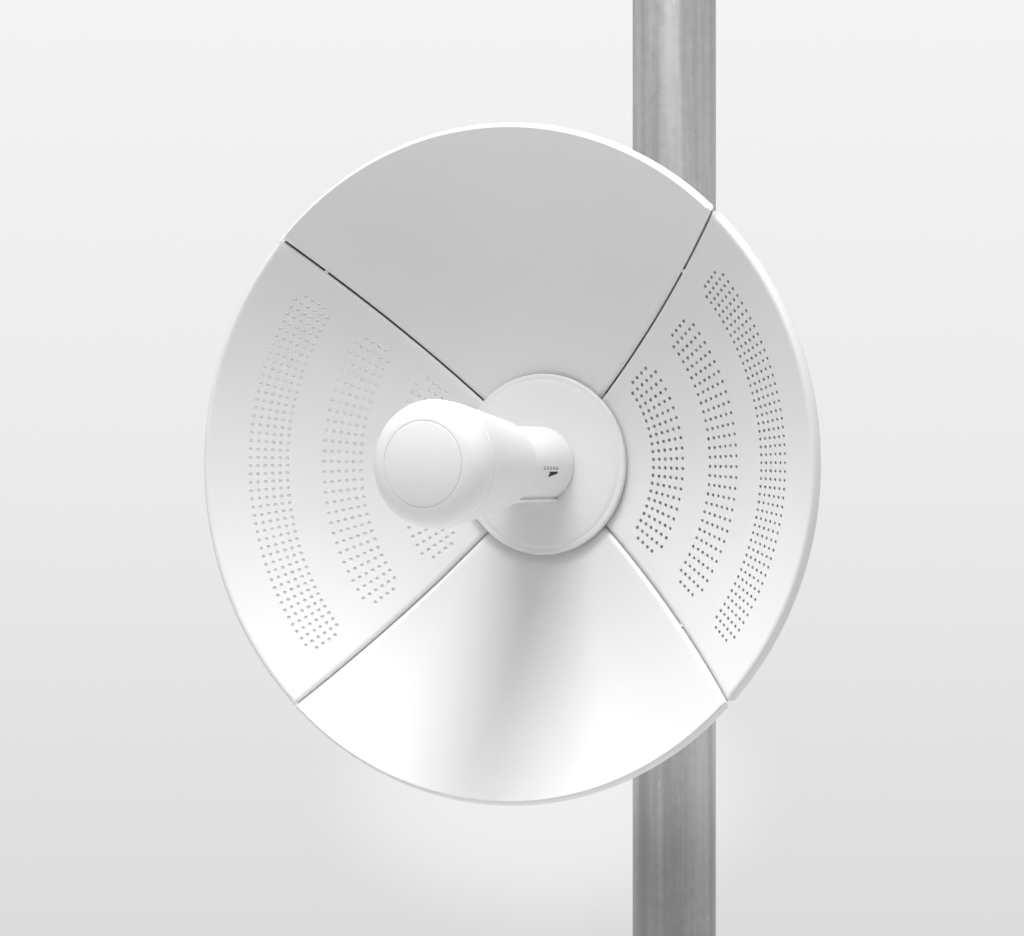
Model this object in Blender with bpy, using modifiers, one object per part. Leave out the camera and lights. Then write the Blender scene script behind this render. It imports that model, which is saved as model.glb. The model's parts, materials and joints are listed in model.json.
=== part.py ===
"""A wireless dish antenna: a four-panel reflector with a feed tube, tilting and turning on a galvanised pole.

Run it with: blender --background --python part.py
Metres, +Z up. The origin is the middle of the pole's lower end. The dish looks along -Y.
"""

from math import acos, atan, cos, pi, radians, sin, sqrt

import bmesh
import bpy
from mathutils import Matrix

# Clearance that pieces keep where one rests on another.
SEAT_GAP = 0.0003

# Pole: 2 inch steel tube.
POLE_LENGTH = 1.0
POLE_RADIUS = 0.06033 / 2
POLE_WALL = 0.0032
POLE_SIDES = 36
PLUG_THICKNESS = 0.004
CAP_THICKNESS = 0.004
CAP_SPIGOT = 0.018

# Reflector: a paraboloid in four quarter panels.
DISH_HEIGHT = 0.500
VERTEX_REACH = 0.2154
FOCAL_LENGTH = 0.1555
RIM_RADIUS = 0.2267
BEAD_RADIUS = 0.0035
BEAD_END = radians(-60)
BEAD_POINTS = 6
PANEL_INNER_RADIUS = 0.046
PANEL_THICKNESS = 0.0020
PANEL_STEPS = 16
PANEL_POINTS = 9
PANEL_TURN = radians(1.9)
SEAM_GAP = 0.0014
QUARTER = pi / 2

# Strips that bridge the seams at the back.
STRIP_WIDTH = 0.016
STRIP_THICKNESS = 0.0025
STRIP_INNER_RADIUS = 0.070
STRIP_OUTER_RADIUS = 0.206

# Hub: the round front plate, and the housing behind the panels.
HUB_PLATE_RADIUS = 0.0612
HUB_PLATE_FRONT = 0.0101
HUB_PLATE_CROWN = 0.0135
HUB_PLATE_SIDES = 60
HOUSING_FLANGE_RADIUS = 0.064
HOUSING_RADIUS = 0.047
HOUSING_BACK = -0.0484

# Feed, measured along the dish axis from the vertex.
TUBE_RADIUS = 0.0254
TUBE_FLAT = 0.0225
TUBE_END = 0.0740
BULB_NECK = 0.0840
BULB_NECK_RADIUS = 0.0300
BULB_BREAK = 0.1570
BULB_BREAK_RADIUS = 0.0404
BULB_SEAM = 0.1715
BULB_SEAM_RADIUS = 0.0416
CAP_WIDEST = 0.1735
CAP_RADIUS = 0.0417
CAP_ROUND = 0.0173
CAP_POINTS = 8
RING_RADIUS = 0.0280
RING_WIDTH = 0.0009
RING_DEPTH = 0.0030
FEED_SIDES = 36
PORT_COVER_WIDTH = 0.027
PORT_COVER_THICKNESS = 0.0030
LENS_SIZE = (0.0006, 0.0016, 0.0036)
LENS_PITCH = 0.0049
LENS_MIDDLE = 0.0503
LENS_ANGLE = radians(-5.0)
LENS_COUNT = 5

# Pole clamp: two V jaws, four bolts.
JAW_WIDTH = 0.116
JAW_HEIGHT = 0.070
JAW_NEAR = 0.014
JAW_FAR = 0.052
JAW_CORNER = 0.006
BOLT_RADIUS = 0.004
BOLT_HOLE_RADIUS = 0.0045
BOLT_SIDE = 0.046
BOLT_RISE = 0.022
HEAD_THICKNESS = 0.0055
NUT_RADIUS = 0.0075
NUT_THICKNESS = 0.0065
WASHER_RADIUS = 0.0085
WASHER_THICKNESS = 0.0016
BOLT_SIDES = 12
WASHER_SIDES = 16

# Yoke on the clamp and bracket on the dish, joined by the tilt pivot.
SHEET = 0.004
CHEEK_CORNER = 0.009
YOKE_INNER_HALF = 0.0310
YOKE_END = 0.122
PIVOT_REACH = 0.104
PIVOT_DROP = 0.016
LOCK_RADIUS = 0.036
TILT_LIMIT = radians(15.0)
BRACKET_OUTER_HALF = 0.0295
BRACKET_TAIL = 0.088
BRACKET_HEIGHT = 0.064


def clear_scene():
    for item in list(bpy.data.objects):
        bpy.data.objects.remove(item, do_unlink=True)


def new_collection(name):
    collection = bpy.data.collections.new(name)
    bpy.context.scene.collection.children.link(collection)
    return collection


def new_material(name, colour, roughness, metallic=0.0):
    material = bpy.data.materials.new(name)
    material.use_nodes = True
    shader = material.node_tree.nodes["Principled BSDF"]
    shader.inputs["Base Color"].default_value = (*colour, 1.0)
    shader.inputs["Roughness"].default_value = roughness
    shader.inputs["Metallic"].default_value = metallic
    return material


clear_scene()
PARTS = new_collection("wireless_dish_antenna")
CUTTERS = new_collection("cutters")
WHITE_PANEL = new_material("white_panel", (0.83, 0.83, 0.83), 0.42)
WHITE_PLASTIC = new_material("white_plastic", (0.86, 0.86, 0.86), 0.38)
GALVANISED = new_material("galvanised_steel", (0.45, 0.46, 0.47), 0.45, 0.8)
BRIGHT_STEEL = new_material("bright_steel", (0.60, 0.60, 0.62), 0.32, 1.0)
CAST_ALUMINIUM = new_material("cast_aluminium", (0.66, 0.67, 0.68), 0.50, 0.9)
GREY_PLASTIC = new_material("grey_plastic", (0.20, 0.20, 0.21), 0.55)
LENS_PLASTIC = new_material("lens_plastic", (0.55, 0.56, 0.57), 0.30)


def new_empty(name, location, parent=None, rotation=(0.0, 0.0, 0.0)):
    empty = bpy.data.objects.new(name, None)
    empty.location = location
    empty.rotation_euler = rotation
    empty.parent = parent
    PARTS.objects.link(empty)
    return empty


def add_object(name, mesh, material, parent):
    item = bpy.data.objects.new(name, mesh)
    item.parent = parent
    if material:
        mesh.materials.clear()
        mesh.materials.append(material)
        PARTS.objects.link(item)
    else:
        item.hide_render = True
        item.display_type = "WIRE"
        CUTTERS.objects.link(item)
    return item


def mesh_from(bm, name):
    mesh = bpy.data.meshes.new(name)
    bm.to_mesh(mesh)
    bm.free()
    return mesh


def line_mesh(name, points):
    """An open chain of edges in the XZ plane, from (x, z) points."""
    bm = bmesh.new()
    verts = [bm.verts.new((x, 0.0, z)) for x, z in points]
    for first, second in zip(verts, verts[1:]):
        bm.edges.new((first, second))
    return mesh_from(bm, name)


def smooth(item, angle=radians(35)):
    item.data.shade_smooth()
    item.data.set_sharp_from_angle(angle=angle)


def screw(item, steps, angle=2 * pi):
    modifier = item.modifiers.new("turn", "SCREW")
    modifier.steps = steps
    modifier.render_steps = steps
    modifier.angle = angle
    modifier.use_merge_vertices = True
    modifier.merge_threshold = 0.00001
    modifier.use_smooth_shade = True
    return modifier


def turned(name, outline, steps, material, parent):
    """A solid of revolution about local Z, from (radius, height) points that run down its outer side."""
    item = add_object(name, line_mesh(name, outline), material, parent)
    screw(item, steps)
    return item


def box(name, size, centre, material, parent):
    bm = bmesh.new()
    bmesh.ops.create_cube(bm, size=1.0, matrix=Matrix.Translation(centre) @ Matrix.Diagonal((*size, 1.0)))
    return add_object(name, mesh_from(bm, name), material, parent)


def cylinder(bm, radius, length, matrix, sides=BOLT_SIDES):
    bmesh.ops.create_cone(
        bm, cap_ends=True, segments=sides, radius1=radius, radius2=radius, depth=length, matrix=matrix
    )


def boolean(item, other, operation):
    modifier = item.modifiers.new(operation.lower(), "BOOLEAN")
    modifier.operation = operation
    modifier.object = other
    modifier.solver = "EXACT"


def cut(item, other):
    boolean(item, other, "DIFFERENCE")


def join(item, other):
    boolean(item, other, "UNION")


def along_x(x=0.0, y=0.0, z=0.0):
    """Lays a cylinder's axis along X at a point."""
    return Matrix.Translation((x, y, z)) @ Matrix.Rotation(pi / 2, 4, "Y")


def along_y(x=0.0, y=0.0, z=0.0):
    """Lays a cylinder's axis along Y at a point."""
    return Matrix.Translation((x, y, z)) @ Matrix.Rotation(pi / 2, 4, "X")


def arc(centre_x, centre_z, radius, start, end, count):
    """Points of a circular arc, angles in radians, counted from +X towards +Z."""
    steps = [start + (end - start) * n / (count - 1) for n in range(count)]
    return [(centre_x + radius * cos(a), centre_z + radius * sin(a)) for a in steps]


def dish_depth(radius):
    return radius * radius / (4 * FOCAL_LENGTH)


def behind_dish(radius, distance):
    """The point at this distance behind the dish surface, square to it, as (radius, depth)."""
    slope = radius / (2 * FOCAL_LENGTH)
    length = sqrt(1 + slope * slope)
    return radius + distance * slope / length, dish_depth(radius) - distance / length


def flat_plate(name, outline, thickness, material, parent, matrix):
    """A flat outline of (x, y) points, extruded to both sides of its plane, then placed by a matrix."""
    bm = bmesh.new()
    face = bm.faces.new([bm.verts.new((x, y, -thickness / 2)) for x, y in outline])
    made = bmesh.ops.extrude_face_region(bm, geom=[face])
    moved = [v for v in made["geom"] if isinstance(v, bmesh.types.BMVert)]
    bmesh.ops.translate(bm, verts=moved, vec=(0.0, 0.0, thickness))
    bmesh.ops.transform(bm, matrix=matrix, verts=bm.verts)
    bmesh.ops.recalc_face_normals(bm, faces=bm.faces)
    return add_object(name, mesh_from(bm, name), material, parent)


def build_pole():
    inner = POLE_RADIUS - POLE_WALL
    bm = bmesh.new()
    middle = Matrix.Translation((0, 0, POLE_LENGTH / 2))
    cylinder(bm, POLE_RADIUS, POLE_LENGTH, middle, POLE_SIDES)
    pole = add_object("pole_tube", mesh_from(bm, "pole_tube"), GALVANISED, None)
    bm = bmesh.new()
    cylinder(bm, inner, POLE_LENGTH + 0.1, middle, POLE_SIDES)
    cut(pole, add_object("pole_bore", mesh_from(bm, "pole_bore"), None, None))
    smooth(pole)
    fitted = inner - 2 * SEAT_GAP
    plug = [(0, PLUG_THICKNESS), (fitted, PLUG_THICKNESS), (fitted, 0), (0, 0)]
    turned("pole_end_plug", plug, POLE_SIDES, GALVANISED, None)
    seat = POLE_LENGTH + SEAT_GAP
    cap = [(0, seat + CAP_THICKNESS), (POLE_RADIUS - 0.003, seat + CAP_THICKNESS)]
    cap += [(POLE_RADIUS, seat + CAP_THICKNESS - 0.002), (POLE_RADIUS, seat), (fitted, seat)]
    cap += [(fitted, seat - CAP_SPIGOT), (0, seat - CAP_SPIGOT)]
    turned("pole_cap", cap, POLE_SIDES, GREY_PLASTIC, None)


def jaw_outline(near, far):
    """A V block seen from above: its notch faces the pole at Y = 0, and its back lies at far."""
    side = 1 if far > near else -1
    apex = side * (POLE_RADIUS + SEAT_GAP) * sqrt(2)
    mouth = abs(apex - near)
    half = JAW_WIDTH / 2
    cut_back = far - side * JAW_CORNER
    back = [(half, cut_back), (half - JAW_CORNER, far), (JAW_CORNER - half, far), (-half, cut_back)]
    return [(-mouth, near), (0, apex), (mouth, near), (half, near)] + back + [(-half, near)]


def bolt_places():
    return [(x * BOLT_SIDE, z * BOLT_RISE) for z in (-1, 1) for x in (-1, 1)]


def build_jaw(name, near, far, parent):
    upright = Matrix.Identity(4)
    jaw = flat_plate(name, jaw_outline(near, far), JAW_HEIGHT, CAST_ALUMINIUM, parent, upright)
    bm = bmesh.new()
    for x, z in bolt_places():
        cylinder(bm, BOLT_HOLE_RADIUS, 0.1, along_y(x, (near + far) / 2, z))
    cut(jaw, add_object(name + "_holes", mesh_from(bm, name + "_holes"), None, parent))


def bolt_stack(head_face, nut_face, spare):
    """A bolt's cylinders as (radius, start, end, sides): shank, head, two washers and nut."""
    overlap = 0.0002
    head = head_face - WASHER_THICKNESS
    nut = nut_face + WASHER_THICKNESS
    return [
        (BOLT_RADIUS, head - overlap, nut + NUT_THICKNESS + spare, BOLT_SIDES),
        (NUT_RADIUS, head - HEAD_THICKNESS, head + overlap, 6),
        (WASHER_RADIUS, head, head_face, WASHER_SIDES),
        (WASHER_RADIUS, nut_face, nut, WASHER_SIDES),
        (NUT_RADIUS, nut - overlap, nut + NUT_THICKNESS, 6),
    ]


def build_clamp_bolts(parent):
    """Long bolts along Y: the head bears on the yoke's base, and the nut behind the rear jaw."""
    head_face = -(JAW_FAR + SEAT_GAP + SHEET + SEAT_GAP)
    stack = bolt_stack(head_face, JAW_FAR + SEAT_GAP, 0.010)
    names = ("lower_left", "lower_right", "upper_left", "upper_right")
    for name, (x, z) in zip(names, bolt_places()):
        rod_stack("clamp_bolt_" + name, stack, lambda middle: along_y(x, middle, z), parent)


def rod_stack(name, stack, placed, parent):
    """Cylinders on one axis, each (radius, start, end, sides), made one body with unions."""
    items = []
    for number, (radius, start, end, sides) in enumerate(stack):
        bm = bmesh.new()
        cylinder(bm, radius, abs(end - start), placed((start + end) / 2), sides)
        label = name if number == 0 else f"{name}_{number}"
        items.append(add_object(label, mesh_from(bm, label), None if number else BRIGHT_STEEL, parent))
    for other in items[1:]:
        join(items[0], other)
    return items[0]


def rounded(points, radius, count=5):
    """The same outline with each corner cut by an arc of this radius."""
    result = []
    for n, (x, y) in enumerate(points):
        before = points[n - 1]
        after = points[(n + 1) % len(points)]
        ends = []
        for other in (before, after):
            length = sqrt((other[0] - x) ** 2 + (other[1] - y) ** 2)
            ends.append((x + (other[0] - x) * radius / length, y + (other[1] - y) * radius / length))
        for k in range(count):
            t = k / (count - 1)
            a, b = (1 - t) ** 2, t ** 2
            m = 2 * t * (1 - t)
            result.append((a * ends[0][0] + m * x + b * ends[1][0], a * ends[0][1] + m * y + b * ends[1][1]))
    return result


def side_plate(name, outline, x, material, parent):
    """A plate square to X, from (reach, rise) points, where reach runs forward along -Y."""
    turned_up = Matrix(((0, 0, 1, x), (-1, 0, 0, 0), (0, 1, 0, 0), (0, 0, 0, 1)))
    return flat_plate(name, outline, SHEET, material, parent, turned_up)


def slot_cutter(name, parent):
    """The arc slot in both yoke cheeks, centred on the tilt pivot."""
    reach = TILT_LIMIT + radians(2)
    half = BOLT_HOLE_RADIUS
    outer = arc(PIVOT_REACH, -PIVOT_DROP, LOCK_RADIUS + half, pi / 2 - reach, pi / 2 + reach, 7)
    inner = arc(PIVOT_REACH, -PIVOT_DROP, LOCK_RADIUS - half, pi / 2 + reach, pi / 2 - reach, 7)
    ends = []
    for angle, start in ((pi / 2 + reach, pi / 2 + reach), (pi / 2 - reach, -pi / 2 - reach)):
        x = PIVOT_REACH + LOCK_RADIUS * cos(angle)
        z = -PIVOT_DROP + LOCK_RADIUS * sin(angle)
        ends.append(arc(x, z, half, start, start + pi, 7)[1:-1])
    outline = outer + ends[0] + inner + ends[1]
    turned_up = Matrix(((0, 0, 1, 0), (-1, 0, 0, 0), (0, 1, 0, 0), (0, 0, 0, 1)))
    return flat_plate(name, outline, 0.1, None, parent, turned_up)


def build_yoke(parent):
    near = JAW_FAR + SEAT_GAP
    base = box(
        "bracket_yoke", (JAW_WIDTH, SHEET, JAW_HEIGHT), (0, -(near + SHEET / 2), 0), BRIGHT_STEEL, parent
    )
    root = near + 0.001
    corners = [(root, -0.034), (root, 0.034), (YOKE_END, 0.033), (YOKE_END, -0.032)]
    outline = rounded(corners, CHEEK_CORNER)
    for name, side in (("left", -1), ("right", 1)):
        x = side * (YOKE_INNER_HALF + SHEET / 2)
        join(base, side_plate("yoke_cheek_" + name, outline, x, None, parent))
    bm = bmesh.new()
    for x, z in bolt_places():
        cylinder(bm, BOLT_HOLE_RADIUS, 0.03, along_y(x, -near, z))
    cylinder(bm, BOLT_HOLE_RADIUS, 0.1, along_x(0, -PIVOT_REACH, -PIVOT_DROP))
    cut(base, add_object("yoke_holes", mesh_from(bm, "yoke_holes"), None, parent))
    cut(base, slot_cutter("yoke_slot", parent))


def cross_bolt(name, reach, rise, parent):
    """A bolt across both cheeks, with a head on the left, and a washer and nut on the right."""
    face = YOKE_INNER_HALF + SHEET + SEAT_GAP
    stack = bolt_stack(-face, face, 0.006)
    rod_stack(name, stack, lambda middle: along_x(middle, -reach, rise), parent)


def build_bracket(parent, pivot_reach, pivot_rise):
    """The dish's own bracket: a base plate on the hub housing and two cheeks inside the yoke's."""
    front = VERTEX_REACH + HOUSING_BACK - SEAT_GAP
    offset = Matrix.Translation((0, pivot_reach, -pivot_rise))
    half = BRACKET_HEIGHT / 2
    size = (2 * BRACKET_OUTER_HALF + 0.012, SHEET, BRACKET_HEIGHT)
    base = box("tilt_bracket", size, (0, -(front - SHEET / 2), 0), BRIGHT_STEEL, None)
    root, foot = front - 0.001, 0.002 - half
    outline = rounded([(root, foot), (BRACKET_TAIL, foot), (BRACKET_TAIL, half), (root, half)], CHEEK_CORNER)
    pieces = [base]
    for name, side in (("left", -1), ("right", 1)):
        x = side * (BRACKET_OUTER_HALF - SHEET / 2)
        cheek = side_plate("bracket_cheek_" + name, outline, x, None, None)
        pieces.append(cheek)
        join(base, cheek)
    bm = bmesh.new()
    for rise in (pivot_rise, pivot_rise + LOCK_RADIUS):
        cylinder(bm, BOLT_HOLE_RADIUS, 0.1, along_x(0, -pivot_reach, rise))
    holes = add_object("bracket_holes", mesh_from(bm, "bracket_holes"), None, None)
    cut(base, holes)
    pieces.append(holes)
    for piece in pieces:
        piece.data.transform(offset)
        piece.parent = parent


def build_spacers(parent):
    """Washers between the cheeks, on the pivot bolt."""
    gap = YOKE_INNER_HALF - BRACKET_OUTER_HALF
    thickness = gap - 2 * SEAT_GAP
    for name, side in (("left", -1), ("right", 1)):
        bm = bmesh.new()
        middle = side * (BRACKET_OUTER_HALF + gap / 2)
        place = along_x(middle, -PIVOT_REACH, -PIVOT_DROP)
        cylinder(bm, WASHER_RADIUS, thickness, place, WASHER_SIDES)
        label = "pivot_washer_" + name
        washer = add_object(label, mesh_from(bm, label), BRIGHT_STEEL, parent)
        bm = bmesh.new()
        cylinder(bm, BOLT_HOLE_RADIUS, 0.02, place)
        cut(washer, add_object(label + "_hole", mesh_from(bm, label + "_hole"), None, parent))


def panel_edge(centre_radius):
    """Radius and slope angle where the dish surface runs smoothly into the bead."""
    slope = atan(centre_radius / (2 * FOCAL_LENGTH))
    for _ in range(4):
        edge = centre_radius - BEAD_RADIUS * sin(slope)
        slope = atan(edge / (2 * FOCAL_LENGTH))
    return edge, slope


def panel_profile():
    """The front surface from the inner edge to the rim and round the bead, and the panel's outward shift."""
    shift = SEAM_GAP / 2 * sqrt(2)
    centre = RIM_RADIUS - shift - BEAD_RADIUS
    edge, slope = panel_edge(centre)
    step = (edge - PANEL_INNER_RADIUS) / (PANEL_POINTS - 1)
    points = [(r, dish_depth(r)) for r in (PANEL_INNER_RADIUS + step * n for n in range(PANEL_POINTS))]
    depth = dish_depth(edge) - BEAD_RADIUS * cos(slope)
    return points + arc(centre, depth, BEAD_RADIUS, pi / 2 + slope, BEAD_END, BEAD_POINTS)[1:], shift


def build_panels(parent):
    profile, shift = panel_profile()
    names = ("panel_right", "panel_top", "panel_left", "panel_bottom")
    for number, name in enumerate(names):
        middle = PANEL_TURN + number * QUARTER
        item = add_object(name, line_mesh(name, profile), WHITE_PANEL, parent)
        item.rotation_euler = (0, 0, middle - QUARTER / 2)
        item.location = (shift * cos(middle), shift * sin(middle), 0)
        screw(item, PANEL_STEPS, QUARTER)
        shell = item.modifiers.new("wall", "SOLIDIFY")
        shell.thickness = PANEL_THICKNESS
        shell.offset = -1.0
        shell.use_even_offset = True


def build_strips(parent):
    """Curved strips behind the seams, each an arc of the dish's section, extruded across the seam."""
    pieces = 9
    reach = STRIP_OUTER_RADIUS - STRIP_INNER_RADIUS
    radii = [STRIP_INNER_RADIUS + reach * n / pieces for n in range(pieces + 1)]
    near = PANEL_THICKNESS + 0.0004
    front = [behind_dish(r, near) for r in radii]
    back = [behind_dish(r, near + STRIP_THICKNESS) for r in reversed(radii)]
    across = Matrix.Rotation(pi / 2, 4, "X")
    for number in range(4):
        seam = PANEL_TURN + (number + 0.5) * QUARTER
        name = f"seam_strip_{number + 1}"
        strip = flat_plate(name, front + back, STRIP_WIDTH, WHITE_PLASTIC, parent, across)
        strip.rotation_euler = (0, 0, seam)
        strip.location = (SEAM_GAP / 2 * cos(seam), SEAM_GAP / 2 * sin(seam), 0)


def build_hub(parent):
    edge = 0.0015
    under = dish_depth(HUB_PLATE_RADIUS) + SEAT_GAP
    rim = HUB_PLATE_RADIUS
    plate = [(0, HUB_PLATE_CROWN), (0.030, HUB_PLATE_CROWN), (0.045, 0.0126)]
    plate += [(rim - edge, HUB_PLATE_FRONT), (rim, HUB_PLATE_FRONT - edge)]
    plate += [(rim, under), (0.050, under - 0.0005), (0, under - 0.0005)]
    turned("hub_plate", plate, HUB_PLATE_SIDES, WHITE_PLASTIC, parent)
    near = PANEL_THICKNESS + 0.0006
    radii = [0.0, 0.030, PANEL_INNER_RADIUS, 0.055, HOUSING_FLANGE_RADIUS]
    front = [behind_dish(r, near) for r in radii]
    flange, depth = front[-1]
    outline = front + [(flange, depth - 0.005), (HOUSING_RADIUS + 0.004, depth - 0.009)]
    outline += [(HOUSING_RADIUS, depth - 0.014), (HOUSING_RADIUS - 0.002, HOUSING_BACK + 0.003)]
    outline += [(HOUSING_RADIUS - 0.005, HOUSING_BACK), (0, HOUSING_BACK)]
    turned("hub_housing", outline, FEED_SIDES, WHITE_PLASTIC, parent)


def build_feed(parent):
    base = HUB_PLATE_CROWN + SEAT_GAP
    tube = [(0, TUBE_END), (TUBE_RADIUS, TUBE_END), (TUBE_RADIUS, base), (0, base)]
    tube_item = turned("feed_tube", tube, FEED_SIDES, WHITE_PLASTIC, parent)
    cutter = box("tube_flat", (0.1, 0.02, 0.2), (0, -TUBE_FLAT - 0.01, 0.05), None, parent)
    cut(tube_item, cutter)
    size = (PORT_COVER_WIDTH, PORT_COVER_THICKNESS, TUBE_END - base)
    middle = (0, -TUBE_FLAT - SEAT_GAP - PORT_COVER_THICKNESS / 2, (TUBE_END + base) / 2)
    cover = box("port_cover", size, middle, WHITE_PLASTIC, parent)
    bevel = cover.modifiers.new("edges", "BEVEL")
    bevel.width = 0.0008
    bevel.segments = 2
    build_bulb(parent)
    build_cap(parent)
    build_lenses(parent)


def build_bulb(parent):
    """The flare: a shoulder on the tube, then a cone that rounds off towards the cap's seam."""
    start = TUBE_END + SEAT_GAP
    shoulder = [(BULB_NECK_RADIUS, BULB_NECK), (0.0288, 0.0790), (0.0268, start + 0.001), (0.0258, start)]
    cone = [(BULB_SEAM_RADIUS, BULB_SEAM - 0.0006), (BULB_BREAK_RADIUS, BULB_BREAK)]
    front = [(0, BULB_SEAM), (BULB_SEAM_RADIUS - 0.0006, BULB_SEAM)]
    outline = front + cone + shoulder + [(0, start)]
    turned("feed_bulb", outline, FEED_SIDES, WHITE_PLASTIC, parent)


def build_cap(parent):
    """The rounded front, with a bed for a disc inside a ring groove."""
    seam = BULB_SEAM + SEAT_GAP
    centre = CAP_RADIUS - CAP_ROUND
    lip = RING_RADIUS + RING_WIDTH / 2
    top = acos((lip - centre) / CAP_ROUND)
    dome = arc(centre, CAP_WIDEST, CAP_ROUND, top, 0, CAP_POINTS)
    front = dome[0][1]
    bed = front - RING_DEPTH
    inner = RING_RADIUS - RING_WIDTH / 2
    groove = front - 0.0012
    outline = [(0, bed), (inner + SEAT_GAP, bed), (inner + SEAT_GAP, groove), (lip, groove)] + dome
    outline += [(BULB_SEAM_RADIUS, seam + 0.0006), (BULB_SEAM_RADIUS - 0.0006, seam), (0, seam)]
    turned("feed_cap", outline, FEED_SIDES, WHITE_PLASTIC, parent)
    floor = bed + SEAT_GAP
    disc = [(0, front + 0.0008), (inner / 2, front + 0.0006), (inner - 0.0006, front)]
    disc += [(inner, front - 0.0006), (inner, floor), (0, floor)]
    turned("cap_disc", disc, FEED_SIDES, WHITE_PLASTIC, parent)


def build_lenses(parent):
    """Indicator windows in a row along the tube's side, each on one flat of the tube."""
    out = TUBE_RADIUS * cos(pi / FEED_SIDES) + SEAT_GAP + LENS_SIZE[0] / 2
    for number in range(LENS_COUNT):
        along = LENS_MIDDLE + (number - (LENS_COUNT - 1) / 2) * LENS_PITCH
        lens = box(f"indicator_lens_{number + 1}", LENS_SIZE, (0, 0, 0), LENS_PLASTIC, parent)
        lens.location = (out * cos(LENS_ANGLE), out * sin(LENS_ANGLE), along)
        lens.rotation_euler = (0, 0, LENS_ANGLE)


def build():
    build_pole()
    swivel = new_empty("swivel_axis", (0, 0, DISH_HEIGHT))
    build_jaw("clamp_saddle", -JAW_NEAR, -JAW_FAR, swivel)
    build_jaw("clamp_rear_jaw", JAW_NEAR, JAW_FAR, swivel)
    build_clamp_bolts(swivel)
    build_yoke(swivel)
    build_spacers(swivel)
    cross_bolt("pivot_bolt", PIVOT_REACH, -PIVOT_DROP, swivel)
    tilt = new_empty("tilt_axis", (0, -PIVOT_REACH, -PIVOT_DROP), swivel)
    build_bracket(tilt, PIVOT_REACH, -PIVOT_DROP)
    cross_bolt("lock_bolt", 0.0, LOCK_RADIUS, tilt)
    vertex = new_empty("dish_vertex", (0, PIVOT_REACH - VERTEX_REACH, PIVOT_DROP), tilt, (pi / 2, 0, 0))
    build_panels(vertex)
    build_strips(vertex)
    build_hub(vertex)
    build_feed(vertex)


build()
bpy.context.view_layer.update()
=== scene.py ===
"""The looks of a wireless dish antenna: its finishes, its perforated panels and its fastenings.

Metres, +Z up. The dish looks along -Y and turns and tilts on a galvanised pole that stands at the origin.
The pieces of the dish are made in the dish's own frame, with its vertex at the origin and Z along its axis,
and are then laid into place.
"""

import json
from math import acos, asin, atan, ceil, cos, pi, radians, sin, sqrt

import bmesh
import bpy
from bpy.props import BoolProperty, FloatProperty, FloatVectorProperty, IntProperty, PointerProperty
from mathutils import Matrix, Vector


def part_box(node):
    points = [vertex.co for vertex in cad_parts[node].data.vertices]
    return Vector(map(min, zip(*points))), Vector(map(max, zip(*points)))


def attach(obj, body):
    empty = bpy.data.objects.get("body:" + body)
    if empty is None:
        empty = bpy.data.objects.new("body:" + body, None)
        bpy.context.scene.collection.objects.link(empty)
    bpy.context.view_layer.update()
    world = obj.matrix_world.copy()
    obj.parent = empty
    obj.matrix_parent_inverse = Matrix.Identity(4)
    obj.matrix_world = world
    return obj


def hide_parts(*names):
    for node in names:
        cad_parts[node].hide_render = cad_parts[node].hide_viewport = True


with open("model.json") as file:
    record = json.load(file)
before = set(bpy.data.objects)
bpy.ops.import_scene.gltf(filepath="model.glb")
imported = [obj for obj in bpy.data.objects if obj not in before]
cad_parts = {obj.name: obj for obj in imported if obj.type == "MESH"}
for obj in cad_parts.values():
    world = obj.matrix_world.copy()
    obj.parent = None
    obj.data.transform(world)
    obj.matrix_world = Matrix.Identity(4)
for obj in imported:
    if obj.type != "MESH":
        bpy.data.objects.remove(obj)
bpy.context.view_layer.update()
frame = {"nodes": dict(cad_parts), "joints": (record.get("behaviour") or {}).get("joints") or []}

bl_info = {
    "name": "Wireless dish antenna",
    "version": (1, 0),
    "blender": (4, 5, 0),
    "location": "3D View > Sidebar > Dish antenna",
    "description": "Dresses the packed antenna: panels, feed, bracket, clamp, pole and studio",
    "category": "Object",
}

QUARTER = pi / 2

# Places, read from the frame.
AXIS_HEIGHT = frame["joints"][0]["pos_m"][2]
PIVOT = Vector(frame["joints"][1]["pos_m"])
POLE_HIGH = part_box("pole_tube")[1]

# Reflector.
PLATE_CROWN = 0.0135
VERTEX = Vector((0.0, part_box("hub_plate")[0].y + PLATE_CROWN, AXIS_HEIGHT))
DISH_FRAME = Matrix.Translation(VERTEX) @ Matrix.Rotation(QUARTER, 4, "X")
FOCAL_LENGTH = 0.1555
RIM_RADIUS = 0.2265
PANEL_INNER_RADIUS = 0.046
PANEL_THICKNESS = 0.0020
PANEL_TURN = radians(1.9)
PANEL_NAMES = ("panel_right", "panel_top", "panel_left", "panel_bottom")
SEAM_GAP = 0.0014
PANEL_SHIFT = SEAM_GAP / 2 * sqrt(2)

# The rim's section, outwards and forwards from the place where the sheet begins to turn over. The side
# panels' rim has a flat band on top.
RIM_OUTLINE = (
    (0.0, 0.0), (0.0026, 0.0021), (0.0051, -0.0023), (0.0056, -0.0038), (0.0050, -0.0047), (0.0036, -0.0044),
    (0.0030, -0.0025),
)
SIDE_RIM_OUTLINE = (
    (0.0, 0.0), (0.0012, 0.0009), (0.0036, 0.0013), (0.0060, -0.0023), (0.0066, -0.0046), (0.0046, -0.0046),
    (0.0040, -0.0025),
)

# Grid of one panel: steps along the rim, along a seam and round each half corner.
RIM_STEPS = 88
SEAM_STEPS = 46
CORNER_STEPS = 5
EDGE_SOFTNESS = 0.0010
RIM_SOFTNESS = 0.0017

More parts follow.
